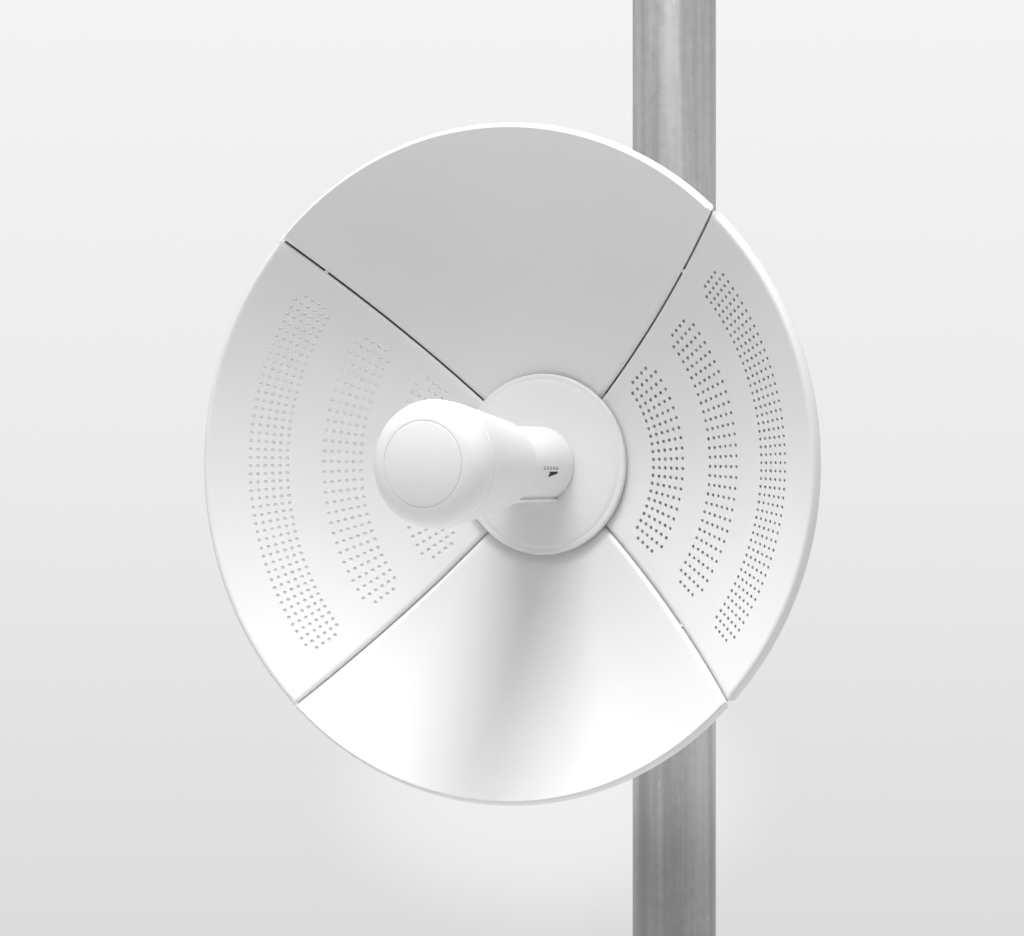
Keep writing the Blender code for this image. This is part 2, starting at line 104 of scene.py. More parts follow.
# Bands of holes: first ring, ring pitch, angle between rows and number of rows.
HOLE_BANDS = (
    (0.08205, 0.004862, radians(3.6885), 21),
    (0.12960, 0.004620, radians(2.6783), 29),
    (0.17500, 0.004340, radians(1.6706), 47),
)
RINGS_IN_BAND = 6
BAND_MIDDLES = {
    "panel_right": (radians(2.10), radians(2.01), radians(1.93)),
    "panel_left": (radians(182.0), radians(182.0), radians(181.97)),
}

# The share of its radius that a hole loses through the sheet, the depth of its sloping lip, and the length of
# the pin that cuts it, in thicknesses of the sheet.
HOLE_NARROWING = 0.50
HOLE_LIP = 0.00045
PIN_REACH = 1.4

# Painted shade on the walls of the holes and in the seams: where it lies in the holes, as radii and as the
# squared slope of the bands' ends, how much of it lies on the left and in the lower seams, and how dark it
# is.
HOLE_START = 0.078
HOLE_REACH = 0.200
HOLE_SPREAD = 0.76
LEFT_HOLE_SHADE = 0.19
UPPER_LEFT_HOLE_SHADE = 0.0
LOWER_SEAM_SHADE = 0.38
HOLE_SHADE = 0.40
SEAM_SHADE = 0.28

# Strips behind the seams and the ones with a groove; small tabs in the seams, each with its seam and radius,
# and how deep and how large a tab is from its front to its back; and pairs of screws along the strips.
STRIP_WIDTH = 0.016
STRIP_THICKNESS = 0.0025
STRIP_NEAR = PANEL_THICKNESS + 0.0004
STRIP_INNER_RADIUS = 0.0600
STRIP_OUTER_RADIUS = 0.2195
STRIP_TIP = 0.003
STRIP_SLACK = 0.0002
STRIP_EDGE = 0.0005
STRIP_END_STEPS = 5
STRIP_STEPS = 24
STRIP_RIB_RISE = 0.0008
STRIP_RIB_HALF = 0.0016
GROOVED_STRIPS = (1, 2)
GROOVE_DEPTH = 0.0019
GROOVE_HALF = 0.0024
GROOVE_MOUTH_HALF = 0.0030
SEAM_TABS = ((0, 0.1727), (1, 0.1905), (3, 0.1547))
TAB_HALF_LENGTH = 0.0012
TAB_HALF_WIDTH = 0.0009
TAB_CORNER = 0.0004
TAB_LEVELS = ((0.0008, 0.7), (0.0010, 1.0), (0.0023, 1.0))
STRIP_SCREW_PAIRS = 4
STRIP_SCREW_START = 0.084
STRIP_SCREW_PITCH = 0.036
STRIP_SCREW_ASIDE = 0.0052
SCREW_SIDES = 12

# Hub.
PLATE_RADIUS = 0.0612
PLATE_FLAT_RADIUS = 0.030
PLATE_FOOT_RADIUS = 0.0525
PLATE_STEPS = 8
PLATE_SIDES = 144
HOUSING_FLANGE_RADIUS = 0.064
HOUSING_RADIUS = 0.047
HOUSING_BACK = -0.0484
HOUSING_NEAR = PANEL_THICKNESS + 0.0006
HOUSING_ROUND = 0.0012
RIB_TOP_DROP = 0.0145
RIB_FOOT_RISE = 0.0045
RIB_HALF = 0.0009
RIB_PROUD = 0.0016
RIB_ROOT = 0.001
RIB_TAPER = 0.0012
RIB_LEAN = 0.002
HOUSING_SCREWS = 8
HOUSING_SCREW_CIRCLE = 0.0580
HOUSING_SCREW_DROP = 0.0068
HOUSING_SCREW_LEAN = radians(-17)

# Feed, along the dish's axis from its vertex.
SEAT_GAP = 0.0003
TUBE_RADIUS = 0.0254
TUBE_FLAT = 0.0225
TUBE_START = PLATE_CROWN + SEAT_GAP
TUBE_END = 0.0740
TUBE_POINTS = 90
BULB_COLLAR_RADIUS = 0.0258
BULB_NECK = 0.0840
BULB_NECK_RADIUS = 0.0300
BULB_BREAK = 0.1570
BULB_BREAK_RADIUS = 0.0404
BULB_SEAM = 0.1715
BULB_SEAM_RADIUS = 0.0416
BULB_SOFTNESS = 0.004
BULB_STEPS = 6
CAP_WIDEST = 0.1735
CAP_RADIUS = 0.0417
CAP_ROUND = 0.0173
DOME_POINTS = 26
RING_RADIUS = 0.0274
RING_WIDTH = 0.0009
RING_DEPTH = 0.0030
RING_GROOVE = 0.0012
DISC_RISE = 0.0034
DISC_SLACK = 0.00012
DISC_STEPS = 12
FRONT_SOFTNESS = 0.0007
COVER_WIDTH = 0.027
COVER_THICKNESS = 0.0034
COVER_SEAT = 0.0004
COVER_LEAN = 0.0016
COVER_EDGE = 0.0005
RIDGE_COUNT = 5
RIDGE_PITCH = 0.0022
RIDGE_START = 0.006
RIDGE_INSET = 0.004
LENS_LENGTH = 0.0027
LENS_WIDTH = 0.0014
LENS_PITCH = 0.0049
LENS_MIDDLE = 0.0503
LENS_ANGLE = radians(-5.9)
LENS_COUNT = 5
RING_LINE = 0.00035
MARK_ANGLES = (radians(-11.2), radians(-19.9))
MARK_START = 0.0390
MARK_END = 0.0512
MARK_SLANT = 0.0010
MARK_STEPS = 6
ROUND_SIDES = 112

# Clamp, bracket and bolts. A bolt's ends are how far it stands out of its nut and where its thread begins.
JAW_FAR = 0.052
BOLT_RADIUS = 0.004
BOLT_SIDE = 0.046
BOLT_RISE = 0.022
JAW_BOLT_ENDS = (0.010, -0.012)
TILT_BOLT_ENDS = (0.006, 0.020)
HEAD_THICKNESS = 0.0055
NUT_RADIUS = 0.0075
NUT_THICKNESS = 0.0065
WASHER_RADIUS = 0.0085
WASHER_THICKNESS = 0.0016
WASHER_EDGE = 0.0003
SPACER_SLACK = 0.0004
THREAD_PITCH = 0.00125
THREAD_DEPTH = 0.0007
SHEET = 0.004
YOKE_INNER_HALF = 0.0310
LOCK_RADIUS = 0.036
HEXAGON_POINTS = 24
ROD_SIDES = 20
THREAD_ROWS = 6
WASHER_SIDES = 40
ALONG_X = Matrix.Rotation(QUARTER, 4, "Y")
ALONG_Y = Matrix.Rotation(-QUARTER, 4, "X")

# Pole.
POLE_WALL = 0.0032
POLE_EDGE = 0.0005
PLUG_EDGE = 0.0006
CAP_EDGE = 0.0008
PLUG_THICKNESS = 0.004
CAP_THICKNESS = 0.004
CAP_SPIGOT = 0.018

# The photograph's camera.
CAMERA_TURN = radians(25.5)
CAMERA_DISTANCE = 2.8525
CAMERA_SLIDE = 0.02487
CAMERA_DROP = 0.00251
CAMERA_LENS = 147.73
SENSOR_WIDTH = 36.0

# The lights: the overhead one's place from the dish's vertex, and both sizes.
LIGHT_PLACE = Vector((0.20, -0.90, 2.50))
LIGHT_SIZE = 1.2
LOW_LIGHT_HEIGHT = 0.012
LOW_LIGHT_SIZE = 2.0

# The floor: its sides, and the shares of its radius where it begins to thin out and has gone.
FLOOR_SIDES = 96
FLOOR_FADE = (0.45, 0.98)

# The background's grey on the screen, from below to above the camera's height, and the soft glow under the
# dish: its place, width and height as slopes.
BACKGROUND_LEVELS = ((0.0, 205), (0.28, 220), (0.5, 235), (0.72, 244), (1.0, 250))
GLOW_ASIDE = 0.008
GLOW_DROP = 0.077
GLOW_WIDTH = 0.060
GLOW_HEIGHT = 0.036


def length(name, description, default, low, high):
    return FloatProperty(
        name=name, description=description, default=default, min=low, max=high,
        subtype="DISTANCE", unit="LENGTH", precision=4,
    )


def colour(name, description, default):
    return FloatVectorProperty(
        name=name, description=description, default=default, min=0.0, max=1.0, size=3, subtype="COLOR"
    )


def amount(name, description, default, low, high):
    return IntProperty(name=name, description=description, default=default, min=low, max=high)


def strength(name, description, default, unit="NONE"):
    return FloatProperty(name=name, description=description, default=default, min=0.0, unit=unit)


class ReflectorSettings(bpy.types.PropertyGroup):
    """Sizes of the four panels and their holes."""

    perforated: BoolProperty(
        name="Perforated", description="Cut the bands of holes in the side panels", default=True
    )
    hole_diameter: length("Hole diameter", "Diameter of the holes", 0.0030, 0.001, 0.004)
    hole_sides: amount("Hole sides", "Number of sides of each hole", 12, 6, 24)
    corner_radius: length("Corner radius", "Radius of the panels' outer corners", 0.0035, 0.002, 0.012)
    seam_roll: length("Seam roll", "Width of the slope along the seams", 0.0033, 0.001, 0.005)
    seam_drop: length("Seam drop", "Depth of the slope along the seams", 0.0015, 0.0005, 0.0018)


class HubSettings(bpy.types.PropertyGroup):
    """Sizes of the hub plate, the housing and the strips behind the seams."""

    plate_edge: length("Plate edge", "Width of the hub plate's border", 0.0040, 0.001, 0.006)
    plate_fall: length("Plate fall", "How far the hub plate falls to its border", 0.0017, 0.0, 0.003)
    plate_lift: length("Plate lift", "Gap under the hub plate's rim", 0.0014, 0.0, 0.002)
    rib_count: amount("Ribs", "Number of ribs round the housing", 24, 6, 60)
    screw_radius: length("Screw radius", "Radius of the small screws' heads", 0.0028, 0.001, 0.004)


class FeedSettings(bpy.types.PropertyGroup):
    """Sizes of the feed's small details."""

    edge: length("Edge", "Rounding of the feed's edges", 0.0006, 0.0002, 0.002)
    lens_rise: length("Lens rise", "Height of the indicator windows over the tube", 0.0005, 0.0001, 0.001)
    mark_rise: length("Mark rise", "Thickness of the printed wedge", 0.00008, 0.00002, 0.0005)


class MountSettings(bpy.types.PropertyGroup):
    """Sizes of the clamp's, bracket's and pole's edges."""

    casting_edge: length("Casting edge", "Rounding of the cast jaws' edges", 0.0018, 0.0005, 0.004)
    sheet_edge: length("Sheet edge", "Rounding of the bracket plates' edges", 0.0005, 0.0002, 0.0015)
    pole_sides: amount("Pole sides", "Number of sides of the round pole", 128, 36, 256)


class FinishSettings(bpy.types.PropertyGroup):
    """Colours of the finishes."""

    panel_coat: colour("Panel coat", "Powder coat of the panels", (0.83, 0.83, 0.83))
    moulding: colour("Moulding", "White plastic of the hub and the feed", (0.86, 0.86, 0.86))
    zinc: colour("Galvanised", "Hot-dip galvanised steel of the pole", (0.455, 0.457, 0.460))
    nick: colour("Nicks", "Pale nicks in the pole's zinc", (0.80, 0.80, 0.79))
    plated: colour("Plated steel", "Zinc plated bracket and bolts", (0.60, 0.60, 0.62))
    casting: colour("Casting", "Bare aluminium of the clamp's jaws", (0.66, 0.67, 0.68))
    cap: colour("Pole cap", "Moulded cap on the pole", (0.20, 0.20, 0.21))
    window: colour("Windows", "Indicator windows on the feed", (0.55, 0.56, 0.57))
    ink: colour("Ink", "Printed wedge beside the windows", (0.008, 0.008, 0.008))
    grey_ink: colour("Grey ink", "Lines round the windows", (0.10, 0.10, 0.10))


class StudioSettings(bpy.types.PropertyGroup):
    """The floor and the lights."""

    floor_radius: length("Floor radius", "Radius of the pale floor", 1.45, 0.5, 3.0)
    floor_colour: colour("Floor", "Colour of the floor", (0.56, 0.56, 0.56))
    overhead: strength("Overhead light", "Power of the soft light above the dish", 63.0, "POWER")
    low_light: strength("Low light", "Power of the light that shines up from the floor", 2.8, "POWER")
    ceiling: strength("Ceiling", "Brightness of the ceiling in front of the dish", 2.05)
    walls: strength("Walls", "Brightness of the room's walls behind the dish", 0.82)
    bounce: strength("Bounce", "Brightness of the light that comes up from below", 1.60)
    glow: strength("Glow", "How much brighter the background is under the dish", 0.16)


def maths(operation, swapped=False):
    """A method of a socket that adds a Math node, with the socket as its first or its last value."""

    def method(self, *others):
        values = (*others, self) if swapped else (self, *others)
        return self.graph.add("ShaderNodeMath", dict(enumerate(values)), operation=operation)

    return method


class Socket:
    """An output in a node tree. Used in an expression, it adds the Math nodes that the expression needs."""

    def __init__(self, graph, socket):
        self.graph = graph
        self.socket = socket

    __add__, __radd__ = maths("ADD"), maths("ADD", True)
    __sub__, __rsub__ = maths("SUBTRACT"), maths("SUBTRACT", True)
    __mul__, __rmul__ = maths("MULTIPLY"), maths("MULTIPLY", True)
    __truediv__, __rtruediv__ = maths("DIVIDE"), maths("DIVIDE", True)
    __mod__, __rmod__ = maths("FLOORED_MODULO"), maths("FLOORED_MODULO", True)
    __gt__, __lt__ = maths("GREATER_THAN"), maths("LESS_THAN")
    cos, sin, arctangent = maths("COSINE"), maths("SINE"), maths("ARCTANGENT")
    floor, sqrt, size = maths("FLOOR"), maths("SQRT"), maths("ABSOLUTE")


class Graph:
    """Adds nodes to a shader or geometry tree."""

    def __init__(self, tree):
        self.tree = tree

    def node(self, kind, inputs=None, stops=None, **settings):
        """A node of this type: its settings are set first, then the values or links of its sockets."""
        node = self.tree.nodes.new(kind)
        for key, value in settings.items():
            setattr(node, key, value)
        if stops:
            self.set_stops(node.color_ramp, stops)
        for key, value in (inputs or {}).items():
            self.feed(node.inputs[key], value)
        return node

    def add(self, kind, inputs=None, output=0, **settings):
        return Socket(self, self.node(kind, inputs, **settings).outputs[output])

    def feed(self, target, value):
        if isinstance(value, Socket):
            self.tree.links.new(value.socket, target)
        elif isinstance(target.default_value, (int, float)):
            target.default_value = value
        else:
            wanted = len(target.default_value)
            target.default_value = tuple(value) + (1.0,) * (wanted - len(value))

    @staticmethod
    def set_stops(ramp, stops):
        while len(ramp.elements) < len(stops):
            ramp.elements.new(0.5)
        for element, (place, level) in zip(ramp.elements, stops):
            element.position = place
            element.color = (level, level, level, 1.0)

    def vector(self, x, y, z):
        return self.add("ShaderNodeCombineXYZ", {0: x, 1: y, 2: z})

    def split(self, vector):
        return [Socket(self, output) for output in self.node("ShaderNodeSeparateXYZ", {0: vector}).outputs]

    def here(self, stretch=(1.0, 1.0, 1.0), shift=(0.0, 0.0, 0.0)):
        """Object coordinates, stretched and shifted."""
        place = self.add("ShaderNodeTexCoord", output="Object")
        return self.add("ShaderNodeMapping", {"Vector": place, "Location": shift, "Scale": stretch})

    def noise(self, scale, detail=2.0, roughness=0.5, **place):
        inputs = {"Vector": self.here(**place), "Scale": scale, "Detail": detail, "Roughness": roughness}
        return self.add("ShaderNodeTexNoise", inputs)

    def between(self, value, low, high, start=0.0, end=1.0):
        """Maps low to high onto start to end, smoothly, and holds the ends."""
        inputs = {"Value": value, 1: low, 2: high, 3: start, 4: end}
        return self.add("ShaderNodeMapRange", inputs, interpolation_type="SMOOTHSTEP")

    def mix(self, factor, first, second):
        return self.add("ShaderNodeMix", {0: factor, 6: first, 7: second}, 2, data_type="RGBA")

    def realized(self, geometry):
        return self.add("GeometryNodeRealizeInstances", {"Geometry": geometry})

    def tint(self, factor, base, low, high):
        """A colour that goes from one shade of the base to another."""
        return self.mix(factor, shade(base, low), shade(base, high))


class Finish(Graph):
    """A material's graph. Its constants are set on the shader's own sockets."""

    def __init__(self, name, **constants):
        self.material = bpy.data.materials.new(name)
        self.material.use_nodes = True
        super().__init__(self.material.node_tree)
        self.shader = self.tree.nodes["Principled BSDF"].inputs
        for label, value in constants.items():
            self.shader[label.replace("_", " ").title()].default_value = value

    def dressed(self, base, roughness=None, bump=None, metallic=None, alpha=None):
        """The material with its shader fed. A bump is a height, its strength and its distance."""
        fed = {"Base Color": base, "Roughness": roughness, "Metallic": metallic, "Alpha": alpha}
        if bump:
            fed["Normal"] = self.add("ShaderNodeBump", dict(zip(("Height", "Strength", "Distance"), bump)))
        for label, value in fed.items():
            if value is not None:
                self.feed(self.shader[label], value)
        return self.material


def shade(base, factor):
    """A colour made lighter or darker."""
    return tuple(min(1.0, channel * factor) for channel in base)


def screen_grey(level):
    """The linear value of a grey seen on the screen as this level, from 0 to 255."""
    c = level / 255
    return c / 12.92 if c <= 0.04045 else ((c + 0.055) / 1.055) ** 2.4


def place_on_dish(graph):
    """How far out along a side panel a point is, how far across it, and how deep behind the dish's front."""
    x, y, z = graph.split(graph.here())
    up = z - VERTEX.z
    across = up * cos(PANEL_TURN) - x * sin(PANEL_TURN)
    along = (x * cos(PANEL_TURN) + up * sin(PANEL_TURN)).size() - PANEL_SHIFT
    square = along * along + across * across
    size = (square + 4 * FOCAL_LENGTH ** 2).sqrt()
    depth = (y - VERTEX.y + square / (4 * FOCAL_LENGTH)) * (2 * FOCAL_LENGTH) / size
    return along, across, depth


def hole_painted_shade(graph):
    """Where painted shade darkens the walls of the holes: inside the sheet, away from the seams and the rim.
    Less is painted on the left side, least of all at its top."""
    along, across, depth = place_on_dish(graph)
    square = along * along + across * across
    inside = graph.between(depth, 0.0001, 0.0005) * (depth < 0.95 * PANEL_THICKNESS)
    near = (square < HOLE_REACH ** 2) * (square > HOLE_START ** 2)
    # The painted shade is uneven from hole to hole.
    patchy = graph.between(graph.noise(210.0, 1.0), 0.35, 0.65, 0.68, 1.0)
    # Less painted shade on the left side, and least at its top.
    x, _, z = graph.split(graph.here())
    left = graph.between(z - VERTEX.z, 0.01, 0.07, LEFT_HOLE_SHADE, UPPER_LEFT_HOLE_SHADE)
    side = graph.between(x, -0.02, 0.02, left, 1.0)
    return inside * near * (along * along * HOLE_SPREAD > across * across) * patchy * side


def seam_painted_shade(graph):
    """Where a joining strip shows in the gap between two panels, for painted shade there; the lower seams get
    less.
    """
    along, across, depth = place_on_dish(graph)
    off = (along + PANEL_SHIFT - across.size()).size() * sqrt(0.5)
    height = graph.split(graph.here())[2] - VERTEX.z
    lower = graph.between(height, -0.02, 0.02, LOWER_SEAM_SHADE, 1.0)
    return (off < SEAM_GAP) * (depth < STRIP_NEAR + STRIP_THICKNESS - 0.0001) * lower


def panel_coat_finish(colours):
    """White powder coat: a fine orange peel, a little uneven in tone, with painted shade in the holes."""
    graph = Finish("white_panel", coat_roughness=0.25)
    broad, grain = graph.noise(7.0), graph.noise(1100.0)
    base = colours.panel_coat
    body = graph.tint(graph.between(broad * 0.75 + grain * 0.25, 0.3, 0.7), base, 0.985, 1.015)
    # Painted shade darkens the walls of the holes.
    body = graph.mix(hole_painted_shade(graph), body, shade(base, HOLE_SHADE))
    return graph.dressed(body, 0.38 + 0.10 * broad, (grain, 0.10, 0.0002))


def moulding_finish(colours, name="white_plastic", shade_mask=None):
    """White satin plastic, with painted shade where a mask for it is given."""
    graph = Finish(name, coat_roughness=0.2)
    broad, grain = graph.noise(11.0), graph.noise(1500.0, 1.0)
    base = colours.moulding
    body = graph.tint(graph.between(broad, 0.3, 0.7), base, 0.985, 1.0)
    if shade_mask:
        body = graph.mix(shade_mask(graph), body, shade(base, SEAM_SHADE))
    return graph.dressed(body, 0.30 + 0.10 * broad, (grain, 0.06, 0.0001))


def strip_finish(colours):
    """The same plastic on the joining strips, with painted shade where they show in the seams."""
    return moulding_finish(colours, "strip_plastic", seam_painted_shade)


def galvanised_finish(colours):
    """Zinc: soft streaks down the pole, a few pale nicks, and painted shade that darkens it towards its foot.
    """
    graph = Finish("galvanised_steel")
    streaks = graph.noise(150.0, 2.0, 0.6, stretch=(1.0, 1.0, 0.03))
    wide = graph.noise(62.0, stretch=(1.0, 1.0, 0.06), shift=(0.6, 0.2, 0.0))
    mottle = graph.noise(160.0, 3.0)
    nicks = graph.noise(330.0, 1.0, stretch=(1.0, 1.0, 0.22), shift=(0.31, 0.0, 0.0))
    nick = graph.between(nicks, 0.77, 0.80)
    tone = graph.between(streaks * 0.35 + wide * 0.5 + mottle * 0.15, 0.36, 0.64)
    # Painted shade and light by height: the pole is darker low down and lighter higher up; new is the lit
    # tone.
    height = graph.split(graph.here())[2]
    shaded_low, new = (graph.tint(tone, shade(colours.zinc, light_share), 0.82, 1.18) for light_share in (0.76, 1.20))
    body = graph.mix(nick * 0.6, graph.mix(graph.between(height, 0.20, 0.31), shaded_low, new), colours.nick)
    relief = (streaks * 0.7 + mottle * 0.3, 0.12, 0.0004)
    return graph.dressed(body, 0.38 + 0.16 * mottle, relief, 0.45 - 0.4 * nick)


def plated_finish(colours):
    """Zinc plated steel: fine rolling lines and a soft bloom."""
    graph = Finish("bright_steel", metallic=1.0)
    lines, bloom = graph.noise(900.0, stretch=(0.08, 1.0, 1.0)), graph.noise(60.0, 3.0)
    body = graph.tint(graph.between(lines * 0.4 + bloom * 0.6, 0.35, 0.65), colours.plated, 0.84, 1.12)
    return graph.dressed(body, 0.26 + 0.16 * bloom, (lines, 0.08, 0.0002))


def casting_finish(colours):
    """Bare die cast aluminium, with the mould's fine grain."""
    graph = Finish("cast_aluminium", metallic=0.9)
    grain, clouds = graph.noise(700.0, 3.0, 0.6), graph.noise(45.0, 3.0)
    body = graph.tint(graph.between(clouds, 0.35, 0.65), colours.casting, 0.82, 1.0)
    return graph.dressed(body, 0.42 + 0.18 * grain, (grain, 0.25, 0.0003))


def cap_finish(colours):
    """Dark grey moulded plastic with a fine spark texture."""
    graph = Finish("grey_plastic")
    grain, broad = graph.noise(1300.0), graph.noise(30.0)
    body = graph.tint(graph.between(broad, 0.3, 0.7), colours.cap, 0.85, 1.0)
    return graph.dressed(body, 0.48 + 0.14 * grain, (grain, 0.2, 0.0002))


def window_finish(colours):
    """Clear grey windows with a gloss on them."""
    graph = Finish("lens_plastic", roughness=0.18, coat_weight=0.6, coat_roughness=0.05)
    return graph.dressed(graph.tint(graph.noise(600.0, 1.0), colours.window, 0.8, 1.1))


def ink_finish(colours):
    """Matt black print."""
    graph = Finish("black_print")
    grain = graph.noise(2400.0, 1.0)
    return graph.dressed(graph.tint(grain, colours.ink, 1.0, 1.8), 0.65 + 0.15 * grain)


def grey_ink_finish(colours):
    """Grey print."""
    graph = Finish("grey_print", roughness=0.5)
    return graph.dressed(graph.tint(graph.noise(2400.0, 1.0), colours.grey_ink, 0.85, 1.15))


def floor_finish(studio):
    """A pale matt floor that thins out towards its edge."""
    graph = Finish("studio_floor", roughness=0.85)
    x, y, _ = graph.split(graph.here())
    near, far = (studio.floor_radius * share for share in FLOOR_FADE)
    thin = graph.between((x * x + y * y).sqrt(), near, far, 1.0, 0.0)
    return graph.dressed(graph.tint(graph.noise(3.0), studio.floor_colour, 0.99, 1.01), alpha=thin)


FINISH_MAKERS = {
    "white_panel": panel_coat_finish,
    "white_plastic": moulding_finish,
    "strip_plastic": strip_finish,
    "galvanised_steel": galvanised_finish,
    "bright_steel": plated_finish,
    "cast_aluminium": casting_finish,
    "grey_plastic": cap_finish,
    "lens_plastic": window_finish,
    "black_print": ink_finish,
    "grey_print": grey_ink_finish,
}
made_finishes = {}


def finish(name):
    """The material of this name, made when it is first asked for."""
    if name not in made_finishes:
        made_finishes[name] = FINISH_MAKERS[name](bpy.context.scene.antenna_finishes)
    return made_finishes[name]


def object_from(bm, name):
    mesh = bpy.data.meshes.new(name)
    bm.to_mesh(mesh)
    bm.free()
    item = bpy.data.objects.new(name, mesh)
    bpy.context.scene.collection.objects.link(item)
    return item


def smooth(item, angle=radians(38)):
    item.data.shade_smooth()
    item.data.set_sharp_from_angle(angle=angle)
    return item


def settle(item, body, slot, *nodes, material=None):
    """Gives a piece the material named, or its slot's, hangs it on its body and hides its CAD nodes."""
    item.data.materials.clear()
    item.data.materials.append(finish(material or slot))
    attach(item, body)
    if nodes:
        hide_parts(*nodes)


def lay(item, matrix=DISH_FRAME):
    """Moves a piece's mesh into place; its object stays at the origin."""
    item.data.transform(matrix)
    item.data.update()
    return item


def settle_on_dish(item, *nodes, slot="white_plastic", material=None, matrix=DISH_FRAME):
    """Lays a piece of the dish into place, smooths it and settles it."""
    settle(smooth(lay(item, matrix)), "dish", slot, *nodes, material=material)


def baked(item):
    """Turns what the modifiers make into the object's own mesh, and removes them."""
    graph = bpy.context.evaluated_depsgraph_get()
    mesh = bpy.data.meshes.new_from_object(item.evaluated_get(graph))
    item.modifiers.clear()
    item.data = mesh
    return item


def round_edges(item, width, segments=3, angle=radians(35)):
    bevel = item.modifiers.new("edges", "BEVEL")
    bevel.width = width
    bevel.segments = segments
    bevel.limit_method = "ANGLE"
    bevel.angle_limit = angle
    bevel.harden_normals = True
    return item


def arc(centre_x, centre_z, radius, start, end, count):
    """Points of a circular arc, angles counted from +X towards +Z."""
    steps = [start + (end - start) * n / (count - 1) for n in range(count)]
    return [(centre_x + radius * cos(a), centre_z + radius * sin(a)) for a in steps]


def softened(points, radius, closed=False, count=4):
    """The same chain of points with each corner cut by a small curve."""
    result = []
    last = len(points) - 1
    for n, (x, y) in enumerate(points):
        if not closed and n in (0, last):
            result.append((x, y))
            continue
        ends = []
        for other in (points[n - 1], points[(n + 1) % len(points)]):
            size = sqrt((other[0] - x) ** 2 + (other[1] - y) ** 2)
            share = min(radius / size, 0.45)
            ends.append((x + (other[0] - x) * share, y + (other[1] - y) * share))
        for k in range(count):
            t = k / (count - 1)
            a, m, b = (1 - t) ** 2, 2 * t * (1 - t), t ** 2
            result.append((a * ends[0][0] + m * x + b * ends[1][0], a * ends[0][1] + m * y + b * ends[1][1]))
    return result


def spin_outline(bm, outline, sides, closed=False):
    """Turns a chain of (radius, height) points about Z."""
    verts = [bm.verts.new((x, 0.0, z)) for x, z in outline]
    pairs = list(zip(verts, verts[1:])) + ([(verts[-1], verts[0])] if closed else [])
    edges = [bm.edges.new(pair) for pair in pairs]
    bmesh.ops.spin(bm, geom=verts + edges, cent=(0, 0, 0), axis=(0, 0, 1), angle=2 * pi, steps=sides)
    bmesh.ops.remove_doubles(bm, verts=bm.verts, dist=1e-6)
    bmesh.ops.recalc_face_normals(bm, faces=bm.faces)


def turned(name, outline, sides=ROUND_SIDES, closed=False):
    bm = bmesh.new()
    spin_outline(bm, outline, sides, closed)
    return smooth(object_from(bm, name))


def prism(name, outline, start, end):
    """A closed outline of (x, y) points drawn out along Z."""
    bm = bmesh.new()
    face = bm.faces.new([bm.verts.new((x, y, start)) for x, y in outline])
    made = bmesh.ops.extrude_face_region(bm, geom=[face])
    moved = [v for v in made["geom"] if isinstance(v, bmesh.types.BMVert)]
    bmesh.ops.translate(bm, verts=moved, vec=(0.0, 0.0, end - start))
    bmesh.ops.recalc_face_normals(bm, faces=bm.faces)
    return smooth(object_from(bm, name))


def skin(bm, rows, closed=False):
    """Faces between rows of points, each a closed loop. The ends are capped unless the rows close up too."""
    loops = [[bm.verts.new(point) for point in row] for row in rows]
    pairs = list(zip(loops, loops[1:])) + ([(loops[-1], loops[0])] if closed else [])
    for first, second in pairs:
        for n in range(len(first)):
            bm.faces.new((first[n - 1], first[n], second[n], second[n - 1]))
    if not closed:
        bm.faces.new(loops[0])
        bm.faces.new(loops[-1])


def skinned(name, *bodies, closed=False):
    """An object of one or more skins, each given by its rows of points."""
    bm = bmesh.new()
    for rows in bodies:
        skin(bm, rows, closed)
    bmesh.ops.recalc_face_normals(bm, faces=bm.faces)
    return object_from(bm, name)


def merged_copy(name, node):
    """A copy of a CAD node with its triangles joined into flat faces."""
    bm = bmesh.new()
    bm.from_mesh(frame["nodes"][node].data)
    bmesh.ops.remove_doubles(bm, verts=bm.verts, dist=1e-6)
    bmesh.ops.dissolve_limit(bm, angle_limit=radians(0.5), verts=bm.verts, edges=bm.edges)
    return smooth(object_from(bm, name))


def dish_depth(radius):
    return radius * radius / (4 * FOCAL_LENGTH)


def on_dish(plan, behind=0.0):
    """The point of the dish over a plan point, or this far behind it, square to the surface."""
    normal = Vector((-plan.x, -plan.y, 2 * FOCAL_LENGTH)).normalized()
    return Vector((plan.x, plan.y, dish_depth(plan.length))) - behind * normal


def on_ray(radius, behind, across=0.0):
    """The point this far behind the dish's line over +X, moved across that line."""
    point = on_dish(Vector((radius, 0.0)), behind)
    return Vector((point.x, across, point.z))


def direction(angle):
    return Vector((cos(angle), sin(angle)))


def mirrored(points):
    return [Vector((p.x, -p.y)) for p in points]


